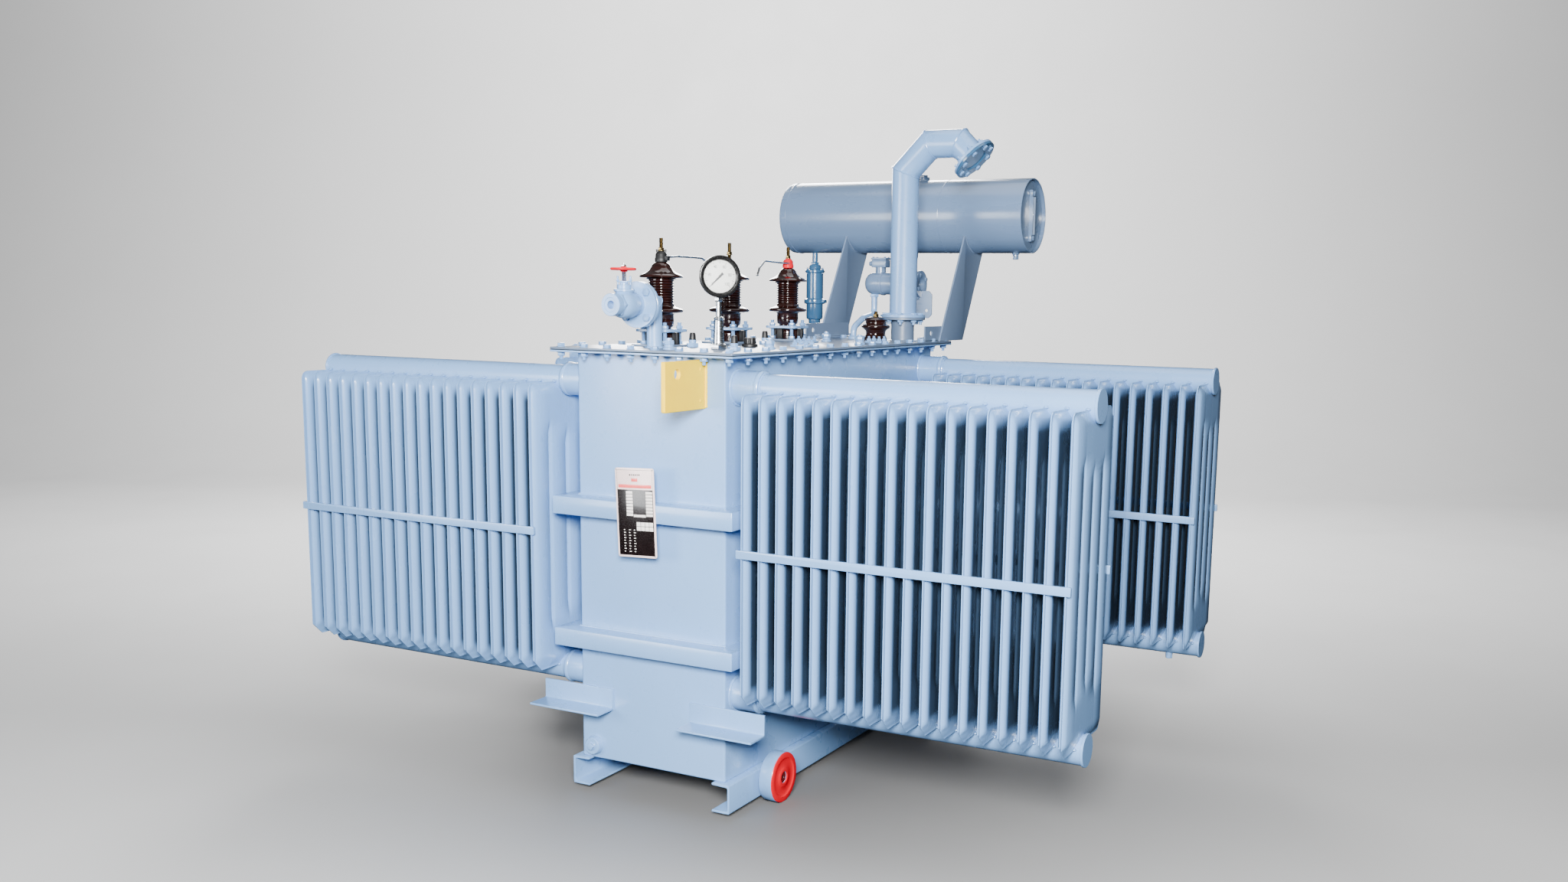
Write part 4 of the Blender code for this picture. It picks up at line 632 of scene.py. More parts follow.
def finish_of(key):
    """The material of a key, made on first use."""
    blue = colours().enamel
    makers = {
        # sprayed enamels, and the primer on the pins
        "tank": lambda: enamel("Blue-gray gloss enamel on tank plate", blue),
        # painted shade: the drum, leg and lid enamels are darker, grayer copies of the tank enamel, standing
        # in for less light on the conservator, gas relay, legs and cover
        "drum": lambda: enamel("Blue-gray gloss enamel on rolled drum plate", dulled(blue, 0.54, 0.2),
            patch=6.0, runs=(0.4, 1, 1)),
        "leg": lambda: enamel("Blue-gray enamel on sheared leg plate", dulled(blue, 0.56), (0.3, 0.42), 0.4),
        "lid": lambda: enamel("Blue-gray enamel on the trodden cover", dulled(blue, 0.42), (0.34, 0.5), 0.4,
            9.0, cloud=0.07),
        # the pressed panels' enamel has painted shade deep in the slots between them
        "panel": lambda: enamel("Blue-gray gloss enamel on pressed panels", blue, (0.22, 0.32), 0.6, 6.0,
            0.00007, (1, 1, 0.25), 0.03, True),
        "cast": lambda: enamel("Blue-gray gloss enamel on iron castings", blue, (0.26, 0.4), 0.5, 22.0,
            0.00024, cloud=0.06),
        "hardware": lambda: enamel("Blue-gray enamel on bolts and nuts", shade(blue, 0.92)[:3], (0.25, 0.42),
            0.45, 30.0, 0.00012, cloud=0.08),
        "deep": lambda: enamel("Deep blue gloss enamel", colours().deep_enamel, (0.16, 0.26), 0.8, 9.0),
        "red": lambda: enamel("Signal red gloss enamel", colours().red, (0.3, 0.42), 0.12, 12.0, 0.00006,
            cloud=0.08),
        "yellow": lambda: enamel("Warm yellow satin enamel", colours().yellow, (0.45, 0.58), 0.0, 14.0,
            0.0001, cloud=0.05),
        "pin": lambda: plastic("Dark red primer on turned pins", "#4A1216", (0.35, 0.5), 300, 0.00004, 0.2),
        # glaze and glass
        "glaze": porcelain,
        "glass": glass,
        # bare and plated metals
        "zinc": lambda: metal("Bright zinc plate on steel", "#C3C8CC", (0.26, 0.42)),
        "brass": lambda: metal("Turned brass", "#86724A", (0.2, 0.34), (0.15, 0.15, 1)),
        "silver": lambda: metal("Ground steel rod", "#D5D8DA", (0.18, 0.3), (0.1, 0.1, 1)),
        "steel": lambda: laminated("Oiled silicon steel sheets", "#6C6F74", 900, (0.3, 0.5)),
        "copper": lambda: laminated("Varnished copper winding", "#B06B44", 120, (0.25, 0.4)),
        # plastics, card, rubber, resin and print
        "black": lambda: plastic("Black gloss lacquer", "#060607", (0.2, 0.3), 260, 0.00003, coat=0.3),
        "cap": lambda: plastic("Matt black moulded plastic", "#101012", (0.42, 0.6)),
        "dial": lambda: plastic("Matt white dial card", "#F1F1EC", (0.5, 0.62), cloud=0.015),
        "ink": lambda: plastic("Black dial ink", "#17171A", (0.45, 0.6)),
        "rubber": lambda: plastic("Black cork rubber", "#1A1A1B", (0.7, 0.85), 520, 0.00012, 0.2),
        "resin": lambda: plastic("Red-brown cast resin", "#5A2A1E", (0.28, 0.4), 260, 0.00004, 0.1, 0.2),
        "plate": lambda: plastic("Pale lacquer on thin steel sheet", "#E9D3D2", (0.22, 0.34), 320, coat=0.4),
        "print_dark": lambda: plastic("Black gloss print", "#120B0C", (0.2, 0.3), 320, 0.00001, 0.3, 0.5),
        "print_red": lambda: plastic("Red gloss print", "#E9605F", (0.25, 0.34), 320, 0.00001, 0.12, 0.3),
        "print_white": lambda: plastic("White gloss print", "#EFEAE6", (0.25, 0.34), 320, 0.00001, 0.03, 0.3),
        "floor": lambda: ground("Pale studio floor")}
    if key not in MADE:
        MADE[key] = makers[key]()
    return MADE[key]


def ground(name):
    """Seamless painted studio floor: matt, faintly uneven, and darkened by a painted shadow under the
    transformer.
    """
    finish, tree, place = blank(name)
    colour = tuple(colours().floor)
    base = blended(tree, spread_of(tree, noise(tree, place, 0.7, 3), 0, 1), shade(colour, 0.985),
        shade(colour, 1.015))
    # painted shadow: a soft dark patch under the transformer, darkest in its middle, standing in for the
    # shadow it casts
    flat = node(tree, "Mapping", {"Vector": place, "Scale": (0.55, 0.66, 0)}).outputs[0]
    away = node(tree, "VectorMath", {0: flat}, operation="LENGTH").outputs["Value"]
    painted_shadow = node(tree, "MapRange", {"Value": away, "From Min": 1.25, "From Max": 0.2},
        interpolation_type="SMOOTHSTEP")
    base = blended(tree, painted_shadow.outputs[0], base, shade(colour, 0.3))
    finished(tree, base_color=base, roughness=spread_of(tree, noise(tree, place, 2.5, 3), 0.55, 0.65),
        normal=bumped(tree, noise(tree, place, 60, 2), 0.0001))
    return finish


# ---------- plates on edge
def axes(x_axis, y_axis, z_axis, place=(0, 0, 0)):
    """A matrix from three directions and a place."""
    matrix = Matrix.Identity(4)
    for column, values in enumerate((x_axis, y_axis, z_axis, place)):
        for row in range(3):
            matrix[row][column] = values[row]
    return matrix


ALONG_Y = axes((1, 0, 0), (0, 0, 1), (0, -1, 0))
ALONG_X = axes((0, 1, 0), (0, 0, 1), (1, 0, 0))


def plate_xz(outline, y_low, y_high, edge=None):
    return moved(slab(outline, -y_high, -y_low, edge), ALONG_Y)


def plate_yz(outline, x_low, x_high, edge=None):
    return moved(slab(outline, x_low, x_high, edge), ALONG_X)


def eased_step(value):
    """0 to 1 with level ends: 3 s^2 - 2 s^3."""
    value = np.clip(value, 0, 1)
    return value * value * (3 - 2 * value)


def tack(place, size=0.004, count=10):
    """A small weld blob: a squashed sphere."""
    angle = np.linspace(-math.pi / 2, math.pi / 2, 7)
    return lathe(np.c_[np.cos(angle) * size, np.sin(angle) * size * 0.6], count, matrix=at(*place))


# ---------- tank
def level_ring(half_x, half_y, z, radius):
    outline = rectangle(-half_x, half_x, -half_y, half_y, radius)
    return np.c_[outline, np.full(len(outline), z)]


def tank_walls():
    """The tank: rows of level outlines from the floor up the wall, over the rim and down the inside."""
    wall, floor = 0.006, 0.008
    under = RIM_TOP - RIM_THICK
    walls, rim = np.array((WALL_X, WALL_Y)), np.array((COVER_X, COVER_Y))
    levels = (
        # half lengths, how far out, height, corner radius
        (walls, -0.003, TANK_FOOT, 0.004), (walls, 0, TANK_FOOT + 0.003, 0.007),
        (walls, 0, under - 0.003, 0.007), (walls, 0.003, under, 0.008),
        (rim, -0.0008, under, 0.003), (rim, 0, under + 0.0008, 0.0035),
        (rim, 0, RIM_TOP - 0.0008, 0.0035), (rim, -0.0008, RIM_TOP, 0.003),
        (walls, -wall, RIM_TOP, 0.006), (walls, -wall, TANK_FOOT + floor, 0.006))
    rows = [level_ring(*(half + out), z, radius) for half, out, z, radius in levels]
    return grid(np.array(rows))


def band(middle_z, height=0.05):
    """A stiffener around the tank: a rectangular section with rounded edges along a level outline."""
    reach_x, reach_y = WALL_X + BAND_DEPTH, WALL_Y + BAND_DEPTH
    half, edge = height / 2, 0.0035
    section = [(-BAND_DEPTH - 0.001, -half), (-edge, -half), (-edge * 0.3, -half + edge * 0.3),
        (0, -half + edge), (0, half - edge), (-edge * 0.3, half - edge * 0.3), (-edge, half),
        (-BAND_DEPTH - 0.001, half)]
    rows = [level_ring(reach_x + out, reach_y + out, middle_z + up, 0.004) for out, up in section]
    return grid(np.array(rows), wrap_rows=True)


def bracket(x_low, end):
    """A jacking bracket: an angle section carried across the tank's end, with a rounded heel."""
    reach, upright, thick, length = 0.075, 0.06, 0.006, 0.232
    base = TANK_FOOT + 0.147
    section = eased([(0, 0), (reach, 0), (reach, thick), (thick, thick), (thick, upright), (0, upright)],
        [0.004, 0.002, 0.002, 0.005, 0.002, 0.001], 3, loop=True)
    outline = np.c_[end * (WALL_Y + section[:, 0]), base + section[:, 1]]
    return plate_yz(outline, x_low, x_low + length, 0.0006)


def boss(x, end):
    """An earthing boss with its hex screw and washer."""
    face = (0, end, 0)
    place = (x, end * WALL_Y, TANK_FOOT + 0.037)
    body = lathe(mm((27, -1), (27, 2), (25, 5), (24.5, 15), (22, 18)), 28)
    return moved(merge([body, washer(0.012, 0.0179, 0.0197), hexagon(0.017, 0.0197, 0.027)]),
        facing(face, place))


class MakeTank(bpy.types.Operator):
    """Builds the tank with its rim, stiffener bands, jacking brackets, earthing bosses and weld beads."""

    bl_idname = "transformer.tank"
    bl_label = "Tank"

    def execute(self, context):
        bead = sizes().bead
        shapes = [tank_walls()]
        for middle_z in (UPPER_BAND - BAND_PITCH, UPPER_BAND):
            shapes.append(band(middle_z))
            for edge in (-0.025, 0.025):
                shapes.append(weld_bead(box_loop(WALL_X + 0.0005, WALL_Y + 0.0005, middle_z + edge), bead))
        shapes.append(weld_bead(box_loop(WALL_X + 0.001, WALL_Y + 0.001, RIM_TOP - RIM_THICK - 0.001), bead))
        inner = 0.127
        for _, end in ENDS:
            for x_low in (-inner - 0.232, inner):
                shapes.append(bracket(x_low, end))
                edge_x = x_low if x_low > 0 else x_low + 0.232
                share = np.linspace(0, 1, 9)
                line = np.c_[np.full(9, edge_x), np.full(9, end * (WALL_Y + 0.001)), TANK_FOOT + 0.148 + share
                    * 0.058]
                shapes.append(carried(polygon(8, 0.0022), line))
            shapes.append(boss(end * 0.191, end))
        make("tank_shell", merge(shapes), "tank", replaces="tank")
        return {"FINISHED"}


# ---------- cover
def rim_bolt_places():
    """Where the cover bolts stand: eight across each end and sixteen along each side, sharing the corners."""
    x, y = COVER_X - 0.022, COVER_Y - 0.022
    across = [(value, end * y) for value in np.linspace(-x, x, 8) for end in (-1, 1)]
    along = [(side * x, value) for value in np.linspace(-y, y, 16)[1:-1] for side in (-1, 1)]
    return across + along


def wobble(index, amount=1.0):
    """A repeatable angle for a bolt, so that no two heads line up."""
    return amount * math.sin(12.9898 * (index + 1)) * math.pi / 6


def fitting(kind):
    """Small closed fittings seen on the cover: a hex plug, a capped stub and a studded square pad."""
    if kind == "plug":
        return merge([lathe(mm((16.5, 0), (16.5, 4), (13, 7), (13, 12)), 24), hexagon(0.024, 0.012, 0.024),
            lathe(mm((8.5, 24), (7.5, 30), (0, 31)), 20)])
    if kind == "stub":
        return merge([hexagon(0.03, 0, 0.012), lathe(mm((10.5, 12), (10.5, 20)), 20)])
    studs = copies(merge([threaded(0.004, 0.006, 0.02), hexagon(0.013, 0.006, 0.013)]),
        [at(x, y, 0) for x in (-0.018, 0.018) for y in (-0.018, 0.018)])
    return merge([slab(rectangle(-0.029, 0.029, -0.029, 0.029, 0.006), 0, 0.006, 0.0012), studs])


def vent_place():
    return middle("vent_pipe")[1], low("vent_pipe")[0] + 0.074


class MakeCover(bpy.types.Operator):
    """Builds the cover plate, its bolts, washers and nuts, the vent stub and the small plugs."""

    bl_idname = "transformer.cover"
    bl_label = "Cover"

    def execute(self, context):
        plate = slab(rectangle(-COVER_X, COVER_X, -COVER_Y, COVER_Y, 0.004), COVER_UNDER, COVER_TOP, 0.001)
        vent_y, vent_x = vent_place()
        top = high("tank_cover")[2] - COVER_TOP
        stub = lathe([(0.038, 0), *mm((38, -8), (73, -8), (74, -7), (74, -1), (73, 0), up=top)], 48,
            matrix=at(vent_x, vent_y, COVER_TOP))
        base = weld_bead(circle((vent_x, vent_y, COVER_TOP), 0.0395), 0.004)
        pads = merge([moved(slab(rectangle(-0.062, 0.062, -0.062, 0.062, 0.01), 0, 0.006, 0.0012),
            at(middle(f"hv_clamp_{k}")[0], middle(f"hv_clamp_{k}")[1], COVER_TOP + GAP)) for k in (1, 2, 3)])
        make("cover_plate", merge([plate, stub, base, pads]), "lid", replaces="tank_cover")
        under = COVER_UNDER - COVER_TOP - (COVER_UNDER - RIM_TOP) - RIM_THICK
        bolt = cover_bolt(sizes().bolt_flats, under)
        turned = [at(x, y, COVER_TOP) @ Matrix.Rotation(wobble(k), 4, "Z")
            for k, (x, y) in enumerate(rim_bolt_places())]
        make("cover_bolts", copies(bolt, turned), "hardware")
        plugs = [(0.035, -0.61), (0.215, -0.395), (-0.215, 0.02), (0.225, 0.13), (0.02, 0.3)]
        stubs = [(-0.01, -0.43), (0.205, -0.56), (0.03, -0.105)]
        squares = [(0.19, -0.16), (-0.205, 0.42), (0.03, 0.15), (0.185, 0.33)]
        shapes = [copies(fitting(kind), [at(x, y, COVER_TOP) @ Matrix.Rotation(wobble(k), 4, "Z")
            for k, (x, y) in enumerate(places)]) for kind, places in (("plug", plugs), ("stub", stubs))]
        shapes.append(copies(fitting("pad"), [at(x, y, COVER_TOP) for x, y in squares]))
        make("cover_fittings", merge(shapes), "hardware")
        cap = lathe(mm((9.5, 20), (8.5, 34), (6.5, 40), (0, 41)), 24)
        make("cover_caps", copies(cap, [at(x, y, COVER_TOP) for x, y in stubs]), "cap")
        ring = ringed(8, 0.059, 0.3, at(vent_x, vent_y, low("vent_pipe")[2] + 0.008))
        make("vent_flange_bolts", copies(flange_bolt(0.018, 0.0165, 0.008), ring), "hardware")
        return {"FINISHED"}


# ---------- base
class MakeBase(bpy.types.Operator):
    """Builds the two base channels with the pins that carry the rollers."""

    bl_idname = "transformer.base"
    bl_label = "Base channels"

    def execute(self, context):
        for name, side in SIDES:
            channel = f"base_channel_{name}"
            bottom, top = low(channel)[2], high(channel)[2]
            face = WALL_X + 0.0225
            inner = face - 0.055
            outline = eased([(face, bottom), (face, top), (inner, top), (inner, top - 0.0055),
                (face - 0.006, top - 0.007), (face - 0.006, bottom + 0.007), (inner, bottom + 0.0055),
                (inner, bottom)], [0.004, 0.004, 0.001, 0.003, 0.006, 0.006, 0.003, 0.001], 3, loop=True)
            outline = outline * (side, 1)
            beam = plate_xz(outline, low(channel)[1], high(channel)[1], 0.0006)
            pins = []
            for end, _ in ENDS:
                wheel = f"roller_{end}_{name}"
                centre = middle(wheel)
                out = abs(high(wheel)[0] if side > 0 else low(wheel)[0])
                pin = lathe([(0, face - 0.014 - 0.006), *mm((18, -20), (18, -6.5), (12, -6.5), up=face),
                    *mm((12, -8.5), (15.8, -8.5), (15.8, -5), (14.5, -4), (6, -4), (5, -5.5), up=out)], 32)
                pins.append(moved(pin, facing((side, 0, 0), (0, centre[1], centre[2]))))
            make(f"base_channel_{name}_finished", beam, "tank", replaces=channel)
            make(f"roller_pins_{name}", merge(pins), "pin")
        return {"FINISHED"}


class MakeRollers(bpy.types.Operator):
    """Builds the four rollers: painted tread and dished red face."""

    bl_idname = "transformer.rollers"
    bl_label = "Rollers"

    def execute(self, context):
        for name, side in SIDES:
            for end, _ in ENDS:
                wheel = f"roller_{end}_{name}"
                radius = (high(wheel)[2] - low(wheel)[2]) / 2
                width = high(wheel)[0] - low(wheel)[0]
                inner_x = low(wheel)[0] if side > 0 else high(wheel)[0]
                matrix = facing((side, 0, 0), (inner_x, middle(wheel)[1], middle(wheel)[2]))
                body = f"{end}_{name}_roller"
                face = width - 0.0032
                tread = lathe([*mm((12.6, 0), (26, 0), (28, 3), (55, 3), (58, 0)),
                    *mm((-3, 0), (-0.8, 0.8), (0, 3), out=radius), (radius, face - 0.0006),
                    (radius - 0.0004, face), (0.0166, face - 0.001), *mm((16.6, -9), (12.6, -9), up=width)],
                    72, ring=True, matrix=matrix)
                front = lathe([*mm((16.8, -8.8), (16.8, -0.5), (17.5, 0), (25.5, 0), (27.5, -1.2), (30, -2.6),
                    (49, -3), (52.5, -2), (55, 0), up=width), *mm((-3.2, 0), (-1.2, -1), (-0.3, -3),
                    out=radius, up=width), (radius - 0.0006, face - 0.0004), (0.03, face - 0.0012)], 72,
                    ring=True, matrix=matrix)
                make(f"{wheel}_tread", tread, "hardware", body, wheel)
                make(f"{wheel}_face", front, "red", body)
        return {"FINISHED"}


# ---------- radiators
def flute_depth(y, z, front, rear, bottom, top):
    """Half the thickness of a panel at a height and depth.

    A flat seam runs around the edge. Inside it the sheets swell by 1 - (1 - s)^2 over a short ramp, and
    three valleys between the four flutes pull them together again, ending in points near top and bottom.
    """
    detail = sizes()
    seam, full = detail.seam_thick / 2, detail.panel_thick / 2
    wide = detail.seam_width
    ramps = ((y - front - wide) / 0.013, (rear - y - wide) / 0.013, (z - bottom - wide * 0.6) / 0.034,
        (top - z - wide * 0.6) / 0.026)
    swell = np.ones_like(y)
    for ramp in ramps:
        swell = swell * (1 - (1 - np.clip(ramp, 0, 1)) ** 2)
    valley = np.zeros_like(y)
    centre = (PANEL_FRONT + PANEL_REAR) / 2
    for place, start, stop in ((-0.073, 0.105, 0.1), (0.0, 0.135, 0.125), (0.073, 0.105, 0.112)):
        run = eased_step((z - bottom - start) / 0.045) * eased_step((top - z - stop) / 0.045)
        near = np.clip(1 - np.abs(y - centre - place) / 0.011, 0, 1)
        valley = np.maximum(valley, eased_step(near) * run)
    return seam + (full - seam) * swell * (1 - 0.82 * valley)


PANEL_FRONT, PANEL_REAR = -0.15, 0.15


def panel(bottom, top, cut_end):
    """One cooling panel standing in the YZ plane about X = 0, as a tube of rows from bottom to top.

    Each row runs up one side and back down the other, clipped to the outline: rounded corners at the top,
    a slanting cut at the lower corner towards cut_end.
    """
    seam = sizes().seam_width
    local = [0, 0.0005, seam - 0.001, seam, seam + 0.0022, seam + 0.006, seam + 0.0125]
    inner = [centre + side for centre in (-0.073, 0.0, 0.073) for side in (-0.011, -0.0065, -0.003, 0, 0.003,
        0.0065, 0.011)]
    columns = np.array(sorted([PANEL_FRONT + value for value in local] + inner + [PANEL_REAR - value
        for value in local]))
    height = top - bottom
    low_rows = [0, 0.0012, 0.004, seam * 0.6 + 0.001, 0.01, 0.016, 0.024, 0.034, 0.042, 0.1, 0.114, 0.128,
        0.142, 0.158, 0.182]
    high_rows = [0, 0.0012, 0.004, seam * 0.6 + 0.001, 0.009, 0.014, 0.02, 0.026, 0.034, 0.098, 0.112, 0.126,
        0.14, 0.156, 0.175]
    rows = np.array(sorted([bottom + value for value in low_rows] + [bottom + height * 0.5] + [top - value
        for value in high_rows]))

    def reach(z, end):
        round_top = 0.022 - np.sqrt(np.maximum(0.022 ** 2 - np.maximum(0.022 - (top - z), 0) ** 2, 0))
        if end == cut_end:
            return round_top + np.maximum(0.034 - (z - bottom), 0)
        return round_top + 0.014 - np.sqrt(np.maximum(0.014 ** 2 - np.maximum(0.014 - (z - bottom), 0) ** 2,
            0))

    z = rows[:, None] + 0 * columns[None]
    front = PANEL_FRONT + reach(z, -1)
    rear = PANEL_REAR - reach(z, 1)
    y = np.clip(columns[None] + 0 * z, front, rear)
    thick = flute_depth(y, z, front, rear, bottom, top)
    near = np.stack([thick, y, z], -1)
    far = np.stack([-thick, y, z], -1)[:, ::-1]
    return grid(np.concatenate([near, far], 1))


def header_shape(length, from_wall):
    """A header tube along +X from the wall: sleeve with a lip, tube, and a disc welded on its end."""
    return merge([lathe(mm((43.5, 0), (44.5, 1), (44.5, 68), (46.2, 70), (46.8, 74), (46.2, 78), (43.5, 81),
        (0, 82), up=from_wall), 48),
        lathe([(0.038, from_wall + 0.05), *mm((38, -7), (40.5, -6.8), (41.2, -6), (41.2, -1), (40.2, 0),
        up=length)], 48)])


class MakeRadiators(bpy.types.Operator):
    """Builds the four banks of fluted cooling panels, their tie bars and their eight header tubes."""

    bl_idname = "transformer.radiators"
    bl_label = "Radiators"

    def execute(self, context):
        for end, sign_y in ENDS:
            for name, sign_x in SIDES:
                fins = f"radiator_fins_{end}_{name}"
                bottom, top = low(fins)[2], high(fins)[2]
                centre_y = middle(fins)[1]
                near, far = sorted((abs(low(fins)[0]), abs(high(fins)[0])))
                places = np.linspace(near + 0.013, far - 0.013, 18)
                one = panel(bottom, top, sign_y)
                shapes = [copies(one, [at(sign_x * x, centre_y, 0) for x in places])]
                bar_z = (bottom + top) / 2
                for edge in (-1, 1):
                    inside = centre_y + edge * 0.1475
                    outside = centre_y + edge * 0.156
                    y_low, y_high = min(inside, outside), max(inside, outside)
                    x_low, x_high = sorted((sign_x * near, sign_x * far))
                    outline = rectangle(x_low, x_high, bar_z - 0.011, bar_z + 0.011, 0.003)
                    shapes.append(plate_xz(outline, y_low, y_high, 0.0014))
                tacks = []
                for level in ("upper", "lower"):
                    header = f"{level}_header_{end}_{name}"
                    axis_z = middle(header)[2]
                    lift = -0.006 if level == "upper" else 0.01
                    reach = math.sqrt(0.038 ** 2 - lift ** 2)
                    for x in places:
                        tacks += [at(sign_x * x, centre_y + side * (reach + 0.002), axis_z + lift)
                            for side in (-1, 1)]
                blob = tack((0, 0, 0), 0.0065)
                shapes.append(copies(blob, tacks))
                make(f"{fins}_finished", merge(shapes), "panel", replaces=fins)
                for level in ("upper", "lower"):
                    header = f"{level}_header_{end}_{name}"
                    length = max(abs(low(header)[0]), abs(high(header)[0]))
                    axis = middle(header)
                    tube = moved(header_shape(length, WALL_X + GAP),
                        facing((sign_x, 0, 0), (0, axis[1], axis[2])))
                    beads = [weld_bead(circle((sign_x * (WALL_X + 0.001), axis[1], axis[2]), 0.0455,
                        (1, 0, 0)), 0.0045), weld_bead(circle((sign_x * (WALL_X + 0.0835), axis[1], axis[2]),
                        0.0385, (1, 0, 0)), 0.003)]
                    shapes = [tube] + beads
                    if level == "lower" and end == "rear":
                        shapes.append(
                            moved(merge([lathe(mm((11, 34), (11, 46)), 20), hexagon(0.019, 0.046, 0.056)]),
                            facing((0, 0, -1), (sign_x * (length - 0.1), axis[1], axis[2]))))
                    make(f"{header}_finished", merge(shapes), "tank", replaces=header)
        return {"FINISHED"}


# ---------- bushings
def shed_profile():
    """Radius and height of the high voltage porcelain above the cover.

    A plain foot, a rounded lower shed, nine ribs r = 31.5 + 3.6 |cos(pi t)|, a thin collar, a wide drooping
    upper shed and a domed head.
    """
    height = np.linspace(0.116, 0.181, 9 * 6 + 1)
    ribs = 0.0315 + 0.0036 * np.abs(np.cos(np.pi * (height - height[0]) / (height[-1] - height[0]) * 9))
    start = [(0, -0.07), (0.023, -0.07), (0.024, -0.068), (0.024, 0.000), (0.036, 0.001), (0.038, 0.003),
        (0.038, 0.03), (0.0365, 0.035), (0.033, 0.0385), (0.027, 0.0395), (0.027, 0.051), (0.031, 0.054),
        (0.0335, 0.058), (0.034, 0.072), (0.0335, 0.086), (0.037, 0.0905), (0.047, 0.0925), (0.0545, 0.093),
        (0.0585, 0.0945), (0.06, 0.0975), (0.0595, 0.1005), (0.057, 0.103), (0.05, 0.1055), (0.041, 0.1085),
        (0.036, 0.112)]
    finish = [(0.0345, 0.183), (0.04, 0.184), (0.042, 0.1855), (0.04, 0.1872), (0.035, 0.188), (0.0335, 0.19),
        (0.042, 0.1915), (0.052, 0.1895), (0.058, 0.188), (0.06, 0.1895), (0.0595, 0.1925), (0.056, 0.1955),
        (0.048, 0.199), (0.04, 0.203), (0.034, 0.2075), (0.03, 0.212), (0.0275, 0.2165), (0.025, 0.2215),
        (0.0215, 0.226), (0.017, 0.229), (0.013, 0.23), (0, 0.23)]
    return np.array(start + np.c_[ribs, height].tolist() + finish)


def clamp_plate():
    """The flange that holds a bushing down: a thick rounded ring with four ears, studs, nuts and washers."""
    flange = pierced(eased(polygon(4, 0.079, math.pi / 4), 0.022, 6, loop=True), np.zeros(2), 0.0275, 0.0403,
        0.0483, 0.001)
    stud = merge([threaded(0.0058, 0.0063, 0.0665), hexagon(0.0165, 0.0483, 0.058),
        washer(0.0105, 0.0063, 0.0082), hexagon(0.0165, 0.0082, 0.016), washer(0.0105, 0.0385, 0.0403)])
    places = [(0.05 * math.cos(a), 0.05 * math.sin(a)) for a in math.pi / 4 + np.arange(4) * math.pi / 2]
    studs = copies(stud, [at(x, y, 0) @ Matrix.Rotation(wobble(k), 4, "Z")
        for k, (x, y) in enumerate(places)])
    blocks = copies(slab(rectangle(-0.009, 0.009, -0.007, 0.007, 0.002), 0.0063, 0.0385, 0.001),
        [at(x, y, 0) for x, y in ((0.047, 0), (-0.047, 0), (0, 0.047), (0, -0.047))])
    return merge([flange, studs]), blocks


def wing_nut():
    """A wing nut: a turned hub with two rounded ears."""
    ear = moved(slab(eased(mm((4, 0), (14, 6), (15.5, 13), (10, 14), (5, 7)), 0.002, 3, loop=True), -0.002,
        0.002, 0.0008), ALONG_Y)
    return merge([lathe(mm((8.5, 0), (8.5, 4), (6, 10)), 20), ear,
        moved(ear, Matrix.Rotation(math.pi, 4, "Z"))])


